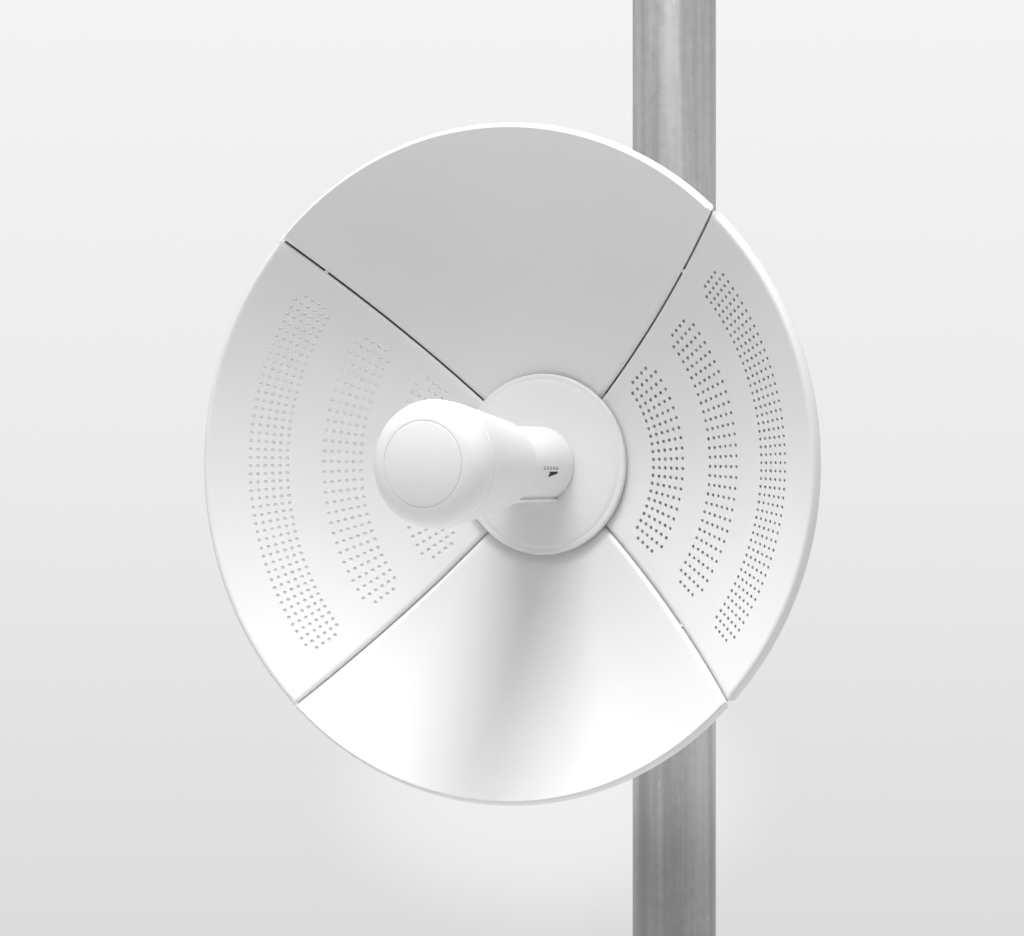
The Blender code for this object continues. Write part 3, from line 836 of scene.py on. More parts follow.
class PanelShape:
    """One quarter panel about +X: a sheet with a rolled rim, rounded seams and rounded outer corners.

    Its edge is swept between two outlines with the same number of points. The outer one is the panel's
    outline, and the inner one is where the flat of the sheet begins to turn over."""

    def __init__(self, reflector, rim_outline):
        self.rim_outline = rim_outline
        self.roll = reflector.seam_roll
        self.drop = reflector.seam_drop
        self.inset = max(out for out, _ in rim_outline)
        corner = reflector.corner_radius
        self.outer = self.outline(0.0, 0.0, PANEL_INNER_RADIUS, corner)
        self.inner = self.outline(self.roll, self.inset, PANEL_INNER_RADIUS + self.roll, corner * 0.3)

    @staticmethod
    def outline(from_seam, from_rim, start, corner):
        """The plan points of an outline this far inside the seams and the rim: its low seam, rim, high seam
        and inner side, each from its inner or low end."""
        reach = RIM_RADIUS - PANEL_SHIFT - from_rim - corner
        lean = asin((from_seam + corner) / reach)
        half = QUARTER / 2
        centre = reach * direction(half - lean)
        bend = (QUARTER + lean) / (2 * CORNER_STEPS)
        bends = range(2 * CORNER_STEPS + 1)
        turned_corner = [centre + corner * direction(half + QUARTER - bend * n) for n in bends]
        along, across = direction(half), from_seam * direction(half - QUARTER)
        first = sqrt(start * start - from_seam * from_seam)
        last = turned_corner[0].dot(along)
        steps = SEAM_STEPS - CORNER_STEPS
        straight = [(first + (last - first) * n / steps) * along + across for n in range(steps)]
        high = straight + turned_corner[:CORNER_STEPS + 1]
        low = mirrored(high)
        arc_steps = RIM_STEPS - 2 * CORNER_STEPS
        angles = [half - lean - 2 * (half - lean) * n / arc_steps for n in range(1, arc_steps)]
        round_part = [(reach + corner) * direction(angle) for angle in angles]
        rim = turned_corner[CORNER_STEPS:] + round_part + mirrored(turned_corner[CORNER_STEPS:][::-1])
        ends = half - asin(from_seam / start)
        inner = [start * direction(max(-ends, min(ends, atan(place.y / place.x)))) for place in rim]
        inner[0], inner[-1] = high[0], low[0]
        return {"low": low, "high": high, "rim": rim[::-1], "inside": inner[::-1]}

    @staticmethod
    def rim_share(side, n, last):
        """How far the edge at a place of one side has become the rolled rim, from 0 to 1."""
        steps = {"inside": 0, "rim": CORNER_STEPS + min(n, last - n)}
        share = max(0.0, min(1.0, steps.get(side, n - (last - CORNER_STEPS)) / (2 * CORNER_STEPS)))
        return share * share * (3 - 2 * share)

    def sections(self, side):
        """The edge's points, from front to back, at each place of one side."""
        last = len(self.outer[side]) - 1
        result = []
        for n, places in enumerate(zip(self.outer[side], self.inner[side])):
            share = self.rim_share(side, n, last)
            pairs = zip(self.seam_section(*places), self.rim_section(*places))
            result.append([seam.lerp(rim, share) for seam, rim in pairs])
        return result

    def seam_section(self, place, turning):
        """The edge at a seam, from the front surface over the slope and round to the back."""
        wide, drop, back = self.roll, self.drop, -PANEL_THICKNESS
        outline = [(0, 0), (0.35 * wide, -0.1 * drop), (0.7 * wide, -0.42 * drop), (wide, -drop)]
        outline += [(wide, 0.95 * back), (0.95 * wide, back), (0.3 * wide, back)]
        rounded = softened(outline, EDGE_SOFTNESS)
        points = [on_dish(turning.lerp(place, out / wide), -up) for out, up in rounded]
        return points + [on_dish(turning, PANEL_THICKNESS)]

    def rim_section(self, place, turning):
        """The rolled rim, from the front surface round its outside and back along its inside."""
        height = dish_depth(turning.length)
        outline = softened(self.rim_outline, RIM_SOFTNESS)
        points = [Vector((*turning.lerp(place, out / self.inset), height + up)) for out, up in outline]
        return points + [on_dish(turning, PANEL_THICKNESS)]

    def build(self, bm):
        inner, rim, low, high = (self.sections(side) for side in ("inside", "rim", "low", "high"))
        across, out = len(rim) - 1, len(low) - 1
        loop = [(i, 0) for i in range(across)] + [(across, j) for j in range(out)]
        loop += [(i, out) for i in range(across, 0, -1)] + [(0, j) for j in range(out, 0, -1)]

        def edge_section(i, j):
            if j in (0, out):
                return (rim if j else inner)[i]
            return (high if i else low)[j]

        rows = [[bm.verts.new(p) for p in edge_section(i, j)] for i, j in loop]
        front = {place: row[0] for place, row in zip(loop, rows)}
        back = {place: row[-1] for place, row in zip(loop, rows)}
        corners = [inner[0][0].xy, inner[-1][0].xy, rim[0][0].xy, rim[-1][0].xy]
        for i in range(1, across):
            u = i / across
            for j in range(1, out):
                v = j / out
                plan = (1 - v) * inner[i][0].xy + v * rim[i][0].xy
                plan = plan + (1 - u) * low[j][0].xy + u * high[j][0].xy
                twice = (1 - v) * ((1 - u) * corners[0] + u * corners[1])
                twice += v * ((1 - u) * corners[2] + u * corners[3])
                front[i, j] = bm.verts.new(on_dish(plan - twice))
                back[i, j] = bm.verts.new(on_dish(plan - twice, PANEL_THICKNESS))
        for i in range(across):
            for j in range(out):
                cell = ((i, j), (i, j + 1), (i + 1, j + 1), (i + 1, j))
                bm.faces.new([front[c] for c in cell])
                bm.faces.new([back[c] for c in reversed(cell)])
        for row, following in zip(rows, rows[1:] + rows[:1]):
            for k in range(len(row) - 1):
                bm.faces.new((row[k], following[k], following[k + 1], row[k + 1]))
        bmesh.ops.recalc_face_normals(bm, faces=bm.faces)


def new_tree(name, **labels):
    """A geometry tree with named inputs, given by their types, and the sockets that they become."""
    tree = bpy.data.node_groups.new(name, "GeometryNodeTree")
    for way in ("INPUT", "OUTPUT"):
        tree.interface.new_socket("Geometry", in_out=way, socket_type="NodeSocketGeometry")
    for kind, names in {**labels, "Material": ("Material",)}.items():
        for label in names:
            tree.interface.new_socket(label, in_out="INPUT", socket_type="NodeSocket" + kind)
    graph = Graph(tree)
    entry = graph.node("NodeGroupInput")
    return tree, graph, {output.name: Socket(graph, output) for output in entry.outputs if output.name}


def end_tree(graph, geometry, material):
    made = {"Geometry": graph.realized(geometry), "Material": material}
    graph.node("NodeGroupOutput", {"Geometry": graph.add("GeometryNodeSetMaterial", made)})


def points_at(graph, number, place):
    return graph.add("GeometryNodePoints", {"Count": number, "Position": place})


def copies_on(graph, points, copied, turn):
    """Copies of a small object on points, each turned its own way."""
    shape = graph.add("GeometryNodeObjectInfo", {"Object": copied}, "Geometry")
    return graph.add("GeometryNodeInstanceOnPoints", {"Points": points, "Instance": shape, "Rotation": turn})


def add_tree(item, tree, values):
    """Puts a geometry tree on a piece, with its inputs set by name."""
    modifier = item.modifiers.new(tree.name, "NODES")
    modifier.node_group = tree
    for socket in tree.interface.items_tree:
        if socket.name in values:
            modifier[socket.identifier] = values[socket.name]


def perforation_tree():
    """Cuts one band of round holes, in rings and rows; its first and last rows leave out their end holes."""
    floats = ("First radius", "Ring pitch", "Row step", "Middle angle", "Focal length")
    tree, graph, given = new_tree("perforated_band", Float=floats, Int=("Rings", "Rows"), Object=("Pin",))
    index = graph.add("GeometryNodeInputIndex")
    rings, rows, focal = given["Rings"], given["Rows"], given["Focal length"]
    ring = index % rings
    row = (index / rings).floor()
    angle = given["Middle angle"] + (row - (rows - 1) / 2) * given["Row step"]
    radius = given["First radius"] + ring * given["Ring pitch"]
    place = graph.vector(radius * angle.cos(), radius * angle.sin(), radius * radius / (4 * focal))
    spare = ((row < 0.5) + (row > rows - 1.5)) * ((ring < 0.5) + (ring > rings - 1.5))
    chosen = {"Geometry": points_at(graph, rings * rows, place), "Selection": spare}
    kept = graph.add("GeometryNodeDeleteGeometry", chosen, domain="POINT")
    x, y, _ = graph.split(graph.add("GeometryNodeInputPosition"))
    normal = {"Vector": graph.vector(0 - x, 0 - y, 2 * focal)}
    turn = graph.add("FunctionNodeAlignRotationToVector", normal, axis="Z")
    pins = graph.realized(copies_on(graph, kept, given["Pin"], turn))
    meshes = {"Mesh 1": given["Geometry"], "Mesh 2": pins}
    holed = graph.add("GeometryNodeMeshBoolean", meshes, operation="DIFFERENCE", solver="MANIFOLD")
    end_tree(graph, holed, given["Material"])
    return tree


def hole_pin(reflector):
    """The pin that cuts a hole: it leaves a sloping lip in front and narrows towards the sheet's back."""
    radius, lip = reflector.hole_diameter / 2, HOLE_LIP
    past = PIN_REACH * PANEL_THICKNESS
    far = radius * (1 - HOLE_NARROWING * past / PANEL_THICKNESS)
    front = [(0, 0.4 * lip), (radius + 0.9 * lip, 0.4 * lip), (radius - 0.5 * lip, -lip)]
    return turned("hole_pin", front + [(far, -past), (0, -past)], reflector.hole_sides)


def perforate(item, name, tree, pin):
    for (first, pitch, step, rows), middle in zip(HOLE_BANDS, BAND_MIDDLES[name]):
        add_tree(item, tree, {
            "First radius": first, "Ring pitch": pitch, "Row step": step, "Middle angle": middle,
            "Focal length": FOCAL_LENGTH, "Rings": RINGS_IN_BAND, "Rows": rows, "Pin": pin,
            "Material": finish("white_panel"),
        })
    baked(item)


def round_row(sides, radius, height):
    """A loop of points round Z. Its radius and height are numbers or depend on the angle."""

    def at(value, angle):
        return value(angle) if callable(value) else value

    angles = [2 * pi * n / sides for n in range(sides)]
    return [(at(radius, a) * cos(a), at(radius, a) * sin(a), at(height, a)) for a in angles]


def add_hexagon(bm, radius, start, end, turned_start, turned_end):
    """A hexagonal head or nut; its corners are turned off at the ends that ask for it."""
    flat = radius * cos(pi / 6)
    face = 0.95 * flat

    def hexagon(angle):
        return flat / cos(angle % (pi / 3) - pi / 6)

    def fall(angle, turned_off):
        return (hexagon(angle) - face) * sin(pi / 6) if turned_off else 0.0

    rows = [round_row(HEXAGON_POINTS, face, start)] if turned_start else []
    rows.append(round_row(HEXAGON_POINTS, hexagon, lambda a: start + fall(a, turned_start)))
    rows.append(round_row(HEXAGON_POINTS, hexagon, lambda a: end - fall(a, turned_end)))
    skin(bm, rows + ([round_row(HEXAGON_POINTS, face, end)] if turned_end else []))


def add_rod(bm, start, thread_start, end):
    """A bolt's shank: plain up to thread_start, then a thread with a turned end."""
    rows = [round_row(ROD_SIDES, BOLT_RADIUS, height) for height in (start, thread_start)]
    steps = ceil((end - thread_start) / THREAD_PITCH * THREAD_ROWS)
    for n in range(1, steps + 1):
        height = thread_start + (end - thread_start) * n / steps
        fade = min(1.0, (end - height) / THREAD_PITCH)

        def ridge(angle, height=height, fade=fade):
            phase = (height / THREAD_PITCH - angle / (2 * pi)) % 1.0
            return BOLT_RADIUS - THREAD_DEPTH * (1 - fade * (1 - abs(2 * phase - 1)))

        rows.append(round_row(ROD_SIDES, ridge, height))
    skin(bm, rows)


def add_washer(bm, start, end, hole=BOLT_RADIUS):
    corners = [(hole, start), (WASHER_RADIUS, start), (WASHER_RADIUS, end), (hole, end)]
    spin_outline(bm, softened(corners, WASHER_EDGE, True, 3), WASHER_SIDES, True)


def bolt(name, head_face, nut_face, spare, thread_start, matrix):
    """A hexagon bolt with two washers and a nut, along Z between the two faces that it clamps."""
    head = head_face - WASHER_THICKNESS
    nut = nut_face + WASHER_THICKNESS
    bm = bmesh.new()
    add_washer(bm, head, head_face)
    add_washer(bm, nut_face, nut)
    add_rod(bm, head - SEAT_GAP, thread_start, nut + NUT_THICKNESS + spare)
    add_hexagon(bm, NUT_RADIUS, head - HEAD_THICKNESS, head, True, False)
    add_hexagon(bm, NUT_RADIUS, nut, nut + NUT_THICKNESS, True, True)
    bmesh.ops.recalc_face_normals(bm, faces=bm.faces)
    return lay(smooth(object_from(bm, name)), matrix)


def ring_tree():
    """Sets copies of a small object in a ring round Z."""
    floats = ("Radius", "Height", "First angle", "Lean")
    tree, graph, given = new_tree("ring_of_copies", Float=floats, Int=("Count",), Object=("Copied",))
    angle = given["First angle"] + graph.add("GeometryNodeInputIndex") * (2 * pi) / given["Count"]
    place = graph.vector(given["Radius"] * angle.cos(), given["Radius"] * angle.sin(), given["Height"])
    points = points_at(graph, given["Count"], place)
    ring = copies_on(graph, points, given["Copied"], graph.vector(0.0, given["Lean"], angle))
    end_tree(graph, ring, given["Material"])
    return tree


def strip_screw_tree():
    """Sets pairs of screws along the four seams, on the dish's curve and square to it."""
    floats = ("First radius", "Pair pitch", "Half spacing", "Behind", "First angle", "Focal length")
    tree, graph, given = new_tree("strip_screws", Float=floats, Int=("Pairs on a strip",), Object=("Copied",))
    index = graph.add("GeometryNodeInputIndex")
    pairs, behind, focal = given["Pairs on a strip"], given["Behind"], given["Focal length"]
    side = (index % 2) * 2 - 1
    radius = given["First radius"] + ((index / 2).floor() % pairs) * given["Pair pitch"]
    angle = given["First angle"] + (index / (pairs * 2)).floor() * QUARTER
    slope = radius / (2 * focal)
    size = (slope * slope + 1).sqrt()
    out = radius + behind * slope / size
    aside = side * given["Half spacing"]
    x = out * angle.cos() - aside * angle.sin()
    y = out * angle.sin() + aside * angle.cos()
    points = points_at(graph, pairs * 8, graph.vector(x, y, radius * radius / (4 * focal) - behind / size))
    screws = copies_on(graph, points, given["Copied"], graph.vector(0.0, 0 - slope.arctangent(), angle))
    end_tree(graph, screws, given["Material"])
    return tree


def copies(name, copied, tree, material, values):
    """A piece made of copies of a small object, which is then removed."""
    item = object_from(bmesh.new(), name)
    add_tree(item, tree, {"Copied": copied, "Material": finish(material), **values})
    baked(item)
    bpy.data.objects.remove(copied, do_unlink=True)
    return item


def screw_head(radius):
    """A small domed screw head with a round socket, facing down."""
    tall, socket = 0.55 * radius, 0.42 * radius
    outline = [(0, -0.45 * tall), (socket, -0.45 * tall), (socket, -tall), (0.65 * radius, -0.95 * tall)]
    outline += [(0.92 * radius, -0.6 * tall), (radius, -0.1 * tall), (radius, 0.0002), (0, 0.0002)]
    return turned("screw_head", outline, SCREW_SIDES)


class ANTENNA_OT_panels(bpy.types.Operator):
    """Make the four reflector panels, with holes in the side ones"""

    bl_idname = "antenna.panels"
    bl_label = "Reflector panels"

    def execute(self, context):
        reflector = context.scene.antenna_reflector
        tree, pin = perforation_tree(), hole_pin(reflector)
        for number, name in enumerate(PANEL_NAMES):
            middle = PANEL_TURN + number * QUARTER
            bm = bmesh.new()
            PanelShape(reflector, SIDE_RIM_OUTLINE if name in BAND_MIDDLES else RIM_OUTLINE).build(bm)
            item = object_from(bm, name.replace("panel", "reflector"))
            moved = Matrix.Translation((*(PANEL_SHIFT * direction(middle)), 0.0))
            lay(item, moved @ Matrix.Rotation(middle, 4, "Z"))
            if name in BAND_MIDDLES and reflector.perforated:
                perforate(item, name, tree, pin)
            settle_on_dish(item, name, slot="white_panel")
        bpy.data.objects.remove(pin, do_unlink=True)
        return {"FINISHED"}


def on_seam(number):
    seam = PANEL_TURN + (number + 0.5) * QUARTER
    return Matrix.Translation((*(SEAM_GAP / 2 * direction(seam)), 0.0)) @ Matrix.Rotation(seam, 4, "Z")


def strip(name, grooved):
    """A curved strip along +X, with rounded ends and a low rib down its back. A grooved one is cut out in
    front, behind the seam."""
    half, tip, back = STRIP_WIDTH / 2, STRIP_TIP, STRIP_THICKNESS
    deep = GROOVE_DEPTH if grooved else 0.0
    reach = STRIP_OUTER_RADIUS - STRIP_INNER_RADIUS
    ends = [tip * (1 - cos(QUARTER * n / STRIP_END_STEPS)) for n in range(STRIP_END_STEPS + 1)]
    middle = [tip + (reach - 2 * tip) * n / STRIP_STEPS for n in range(1, STRIP_STEPS)]
    rows = []
    for along in ends + middle + [reach - d for d in reversed(ends)]:
        near_end = min(along, reach - along, tip)
        wide = half - tip + sqrt(max(0.0, tip * tip - (tip - near_end) ** 2)) - STRIP_SLACK
        rib = back + STRIP_RIB_RISE * min(1.0, near_end / tip)
        right = [(GROOVE_HALF, deep), (GROOVE_MOUTH_HALF, 0), (wide, 0), (wide, back), (GROOVE_HALF, back)]
        right.append((STRIP_RIB_HALF, rib))
        left = [(-across, behind) for across, behind in reversed(right)]
        section = softened(left[-3:] + right + left[:-3], STRIP_EDGE, True, 3)
        radius = STRIP_INNER_RADIUS + along
        rows.append([on_ray(radius, STRIP_NEAR + behind, across) for across, behind in section])
    return skinned(name, rows)


def seam_tabs():
    """Small tabs that hold the panels together in the seams."""
    half, wide = TAB_HALF_LENGTH, TAB_HALF_WIDTH
    corners = [(-half, -wide), (half, -wide), (half, wide), (-half, wide)]
    outline = softened(corners, TAB_CORNER, True, 3)
    tabs = []
    for number, radius in SEAM_TABS:
        rows = []
        for deep, size in TAB_LEVELS:
            rows.append([on_seam(number) @ on_ray(radius + x * size, deep, y * size) for x, y in outline])
        tabs.append(rows)
    return skinned("seam_tabs", *tabs)


class ANTENNA_OT_strips(bpy.types.Operator):
    """Make the strips that join the panels behind their seams, and their screws"""

    bl_idname = "antenna.strips"
    bl_label = "Seam strips"

    def execute(self, context):
        for number in range(1, 5):
            item = strip(f"joining_strip_{number}", number in GROOVED_STRIPS)
            place = DISH_FRAME @ on_seam(number - 1)
            settle_on_dish(item, f"seam_strip_{number}", material="strip_plastic", matrix=place)
        settle_on_dish(seam_tabs())
        head = screw_head(context.scene.antenna_hub.screw_radius)
        screws = copies("strip_screws", head, strip_screw_tree(), "bright_steel", {
            "First radius": STRIP_SCREW_START, "Pair pitch": STRIP_SCREW_PITCH,
            "Half spacing": STRIP_SCREW_ASIDE, "Behind": STRIP_NEAR + STRIP_THICKNESS,
            "First angle": PANEL_TURN + QUARTER / 2, "Focal length": FOCAL_LENGTH,
            "Pairs on a strip": STRIP_SCREW_PAIRS,
        })
        settle_on_dish(screws, slot="bright_steel")
        return {"FINISHED"}


def plate_outline(hub):
    """Flat in the middle, then falling gently to a border that stands clear of the panels."""
    rim = PLATE_RADIUS
    shoulder = rim - hub.plate_edge
    crown = [(0, PLATE_CROWN)]
    for n in range(PLATE_STEPS + 1):
        share = n / PLATE_STEPS
        out = PLATE_FLAT_RADIUS + (shoulder - PLATE_FLAT_RADIUS) * share
        crown.append((out, PLATE_CROWN - hub.plate_fall * share ** 2))
    lip = dish_depth(rim) + SEAT_GAP + hub.plate_lift
    foot = dish_depth(PLATE_FOOT_RADIUS) + SEAT_GAP
    step = crown[-1][1]
    edge = [(shoulder, step), (shoulder + 0.0003, step - 0.00018), (shoulder + 0.0006, step - 0.00004)]
    edge += [(rim - 0.0006, step - 0.0003), (rim, step - 0.0008), (rim, lip), (rim - 0.0005, lip - 0.0003)]
    edge += [(PLATE_FOOT_RADIUS + 0.0010, lip - 0.0004), (PLATE_FOOT_RADIUS, foot)]
    return crown[:-1] + softened(edge, 0.0004, False, 3) + [(0, foot)]


def housing_outline():
    """The housing's outline, and the depth of its flange."""
    radii = (0.0, 0.020, 0.034, PANEL_INNER_RADIUS, 0.055, HOUSING_FLANGE_RADIUS)
    front = [on_ray(radius, HOUSING_NEAR) for radius in radii]
    flange, depth = front[-1].x, front[-1].z
    side = [(flange, depth), (flange, depth - 0.005), (HOUSING_RADIUS + 0.004, depth - 0.009)]
    side += [(HOUSING_RADIUS, depth - 0.014), (HOUSING_RADIUS - 0.002, HOUSING_BACK + 0.003)]
    side += [(HOUSING_RADIUS - 0.005, HOUSING_BACK), (0, HOUSING_BACK)]
    return [(p.x, p.z) for p in front[:-1]] + softened(side, HOUSING_ROUND), depth


def housing_rib(depth):
    """One stiffening rib down the housing's side, which leans in with it."""
    top, bottom = depth - RIB_TOP_DROP, HOUSING_BACK + RIB_FOOT_RISE
    half, proud, root = RIB_HALF, RIB_PROUD, -RIB_ROOT
    corners = [(root, -half), (proud, -half * 0.7), (proud, half * 0.7), (root, half)]
    section = softened(corners, 0.0004, True, 3)
    lean = -RIB_LEAN / (top - bottom)
    rows = []
    for height, size in ((top, 0.35), (top - RIB_TAPER, 1.0), (bottom + RIB_TAPER, 1.0), (bottom, 0.35)):
        rows.append([(x * size + (top - height) * lean, y, height) for x, y in section])
    return skinned("rib", rows)


class ANTENNA_OT_hub(bpy.types.Operator):
    """Make the round hub plate and the ribbed housing behind the panels"""

    bl_idname = "antenna.hub"
    bl_label = "Hub"

    def execute(self, context):
        hub = context.scene.antenna_hub
        settle_on_dish(turned("hub_cover", plate_outline(hub), PLATE_SIDES), "hub_plate")
        outline, depth = housing_outline()
        settle_on_dish(turned("housing_shell", outline), "hub_housing")
        ring = ring_tree()
        ribs = {"Count": hub.rib_count, "Radius": HOUSING_RADIUS}
        settle_on_dish(copies("housing_ribs", housing_rib(depth), ring, "white_plastic", ribs))
        head = screw_head(hub.screw_radius)
        settle_on_dish(copies("housing_screws", head, ring, "bright_steel", {
            "Count": HOUSING_SCREWS, "Radius": HOUSING_SCREW_CIRCLE, "Height": depth - HOUSING_SCREW_DROP,
            "First angle": PANEL_TURN, "Lean": HOUSING_SCREW_LEAN,
        }), slot="bright_steel")
        return {"FINISHED"}


def feed_stem(edge):
    """A round tube with a flat underneath for the port cover."""
    reach = acos(TUBE_FLAT / TUBE_RADIUS)
    outline = arc(0, 0, TUBE_RADIUS, reach - QUARTER, 3 * QUARTER - reach, TUBE_POINTS)
    return baked(round_edges(prism("feed_stem", outline, TUBE_START, TUBE_END), edge, 3, radians(25)))


def port_cover():
    """The cover under the tube: a neck, sides that lean in towards the bottom, and finger ridges in front."""
    half, neck = COVER_WIDTH / 2, COVER_WIDTH / 2 - COVER_LEAN
    top = COVER_SEAT - TUBE_FLAT
    right = [(neck, top - COVER_THICKNESS), (half, top - 0.0014), (neck, top - 0.0012), (neck, top)]
    outline = [(-x, y) for x, y in reversed(right)] + right
    cover = baked(round_edges(prism("cable_port_cover", outline, TUBE_START, TUBE_END), COVER_EDGE))
    bm = bmesh.new()
    bm.from_mesh(cover.data)
    ridge = [(0.0, -0.0005), (0.0004, -0.00035), (0.0005, 0.0), (0.0004, 0.00035), (0.0, 0.0005)]
    base = top - COVER_THICKNESS + 0.0002
    reach = half - RIDGE_INSET
    for n in range(RIDGE_COUNT):
        middle = TUBE_END - RIDGE_START - RIDGE_PITCH * n
        skin(bm, [[(x, base - up, middle + along) for up, along in ridge] for x in (-reach, reach)])
    bmesh.ops.recalc_face_normals(bm, faces=bm.faces)
    bm.to_mesh(cover.data)
    bm.free()
    return cover


def bulb_outline():
    """A short collar on the tube, then a cone that rounds off towards the cap."""
    start = TUBE_END + SEAT_GAP
    corners = [(0.0, start), (BULB_COLLAR_RADIUS, start), (BULB_NECK_RADIUS, BULB_NECK)]
    neck = softened(corners + [(BULB_BREAK_RADIUS, BULB_BREAK)], BULB_SOFTNESS, False, BULB_STEPS)
    edge = [(BULB_SEAM_RADIUS, BULB_SEAM - 0.0006), (BULB_SEAM_RADIUS - 0.0005, BULB_SEAM)]
    return neck + edge + [(0, BULB_SEAM)]


def cap_outlines():
    """The rounded front with a round bed, and the plain disc that lies in it."""
    seam = BULB_SEAM + SEAT_GAP
    centre = CAP_RADIUS - CAP_ROUND
    lip, inner = RING_RADIUS + RING_WIDTH / 2, RING_RADIUS - RING_WIDTH / 2
    dome = arc(centre, CAP_WIDEST, CAP_ROUND, acos((lip - centre) / CAP_ROUND), 0, DOME_POINTS)
    front = dome[0][1]
    bed, groove = front - RING_DEPTH, front - RING_GROOVE
    shore = softened([(lip, groove), (lip, front - 0.0001), dome[1], dome[2]], FRONT_SOFTNESS)
    cap = [(0, bed), (inner + SEAT_GAP, bed), (inner + SEAT_GAP, groove)] + shore[:-1] + dome[2:]
    cap += [(BULB_SEAM_RADIUS, seam + 0.0005), (BULB_SEAM_RADIUS - 0.0005, seam), (0, seam)]
    floor, shelf = bed + SEAT_GAP, groove + 0.0002
    wide, steps = lip - DISC_SLACK, DISC_STEPS
    crown = [(wide * n / steps, front + DISC_RISE * (1 - (n / steps) ** 2)) for n in range(steps)]
    edge = [crown[-1], (wide, front), (wide, shelf), (inner, shelf), (inner, floor), (0, floor)]
    return cap, crown[:-1] + softened(edge, FRONT_SOFTNESS)


class ANTENNA_OT_feed(bpy.types.Operator):
    """Make the feed: its flat-bottomed tube, port cover, flared bulb, cap and disc"""

    bl_idname = "antenna.feed"
    bl_label = "Feed"

    def execute(self, context):
        settle(lay(feed_stem(context.scene.antenna_feed.edge)), "dish", "white_plastic", "feed_tube")
        settle(lay(port_cover()), "dish", "white_plastic", "port_cover")
        cap, disc = cap_outlines()
        for name, outline, node in (
            ("feed_flare", bulb_outline(), "feed_bulb"), ("feed_front", cap, "feed_cap"),
            ("front_disc", disc, "cap_disc"),
        ):
            settle_on_dish(turned(name, outline), node)
        return {"FINISHED"}


def window_places():
    """How far along the tube the windows are."""
    return [LENS_MIDDLE + (number - (LENS_COUNT - 1) / 2) * LENS_PITCH for number in range(LENS_COUNT)]


def window_outline(wide=0.0):
    """A long round-ended loop, this much wider than a window."""
    half, straight = LENS_WIDTH / 2, (LENS_LENGTH - LENS_WIDTH) / 2
    return arc(0, straight, half + wide, 0, pi, 9) + arc(0, -straight, half + wide, pi, 2 * pi, 9)


def round_tube(angle, up, along):
    """A point this far out of the tube's round side."""
    return (TUBE_RADIUS + up) * cos(angle), (TUBE_RADIUS + up) * sin(angle), along


def window(name, rise):
    """A long domed window facing +X, its length along Z."""
    levels = [(1.0, -0.0004), (1.0, 0.3 * rise), (0.92, 0.75 * rise), (0.75, 0.95 * rise), (0.45, rise)]
    rows = []
    for size, up in levels:
        shrink = (1 - size) * (LENS_WIDTH / 2)
        rows.append([(up, y * size, z - shrink * (1 if z > 0 else -1)) for y, z in window_outline()])
    return skinned(name, rows)


def window_rings(rise):
    """A thin dark line round each window."""
    rings = []
    for along in window_places():
        rows = []
        for up, wide in ((-rise, 0.0), (rise, 0.0), (rise, RING_LINE), (-rise, RING_LINE)):
            loop = window_outline(wide)
            rows.append([round_tube(LENS_ANGLE + across / TUBE_RADIUS, up, z + along) for across, z in loop])
        rings.append(rows)
    return skinned("window_rings", *rings, closed=True)


def printed_wedge(rise):
    """A plain rising wedge, printed round the tube's side."""
    high, low = MARK_ANGLES
    shares = [n / MARK_STEPS for n in range(MARK_STEPS + 1)]
    rows = []
    for share in shares:
        along = MARK_START + (MARK_END - MARK_START) * share
        tall, slant = (low - high) * (0.35 + 0.65 * share), MARK_SLANT * share
        edge = [(rise, down) for down in shares] + [(-rise, down) for down in reversed(shares)]
        rows.append([round_tube(high + tall * down, up, along + slant * down) for up, down in edge])
    return skinned("printed_wedge", rows)


class ANTENNA_OT_indicators(bpy.types.Operator):
    """Make the indicator windows and the printed wedge beside them"""

    bl_idname = "antenna.indicators"
    bl_label = "Indicator windows"

    def execute(self, context):
        feed = context.scene.antenna_feed
        for number, along in enumerate(window_places(), 1):
            stood = Matrix.Rotation(LENS_ANGLE, 4, "Z") @ Matrix.Translation((TUBE_RADIUS, 0.0, along))
            item = window(f"window_{number}", feed.lens_rise)
            settle_on_dish(item, f"indicator_lens_{number}", slot="lens_plastic", matrix=DISH_FRAME @ stood)
        settle_on_dish(window_rings(feed.mark_rise), slot="lens_plastic", material="grey_print")
        settle_on_dish(printed_wedge(feed.mark_rise), slot="lens_plastic", material="black_print")
        return {"FINISHED"}


class ANTENNA_OT_bracket(bpy.types.Operator):
    """Make the yoke on the clamp and the tilting bracket on the dish, with their spacers"""

    bl_idname = "antenna.bracket"
    bl_label = "Tilting bracket"

    def execute(self, context):
        edge = context.scene.antenna_mount.sheet_edge
        for name, node, body in (
            ("yoke_plates", "bracket_yoke", "clamp"), ("tilt_plates", "tilt_bracket", "dish"),
        ):
            settle(round_edges(merged_copy(name, node), edge, 2), body, "bright_steel", node)
        place = Matrix.Translation((0.0, PIVOT.y, PIVOT.z)) @ ALONG_X
        for side in ("left", "right"):
            low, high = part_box("pivot_washer_" + side)
            bm = bmesh.new()
            add_washer(bm, low.x, high.x, BOLT_RADIUS + SPACER_SLACK)
            item = smooth(lay(object_from(bm, "spacer_" + side), place))
            settle(item, "clamp", "bright_steel", "pivot_washer_" + side)
        return {"FINISHED"}


class ANTENNA_OT_clamp(bpy.types.Operator):
    """Make the two cast V jaws"""

    bl_idname = "antenna.clamp"
    bl_label = "Pole clamp"

    def execute(self, context):
        edge = context.scene.antenna_mount.casting_edge
        for name, node in (("front_jaw", "clamp_saddle"), ("rear_jaw", "clamp_rear_jaw")):
            item = round_edges(merged_copy(name, node), edge, 3, radians(40))
            settle(item, "clamp", "cast_aluminium", node)
        return {"FINISHED"}


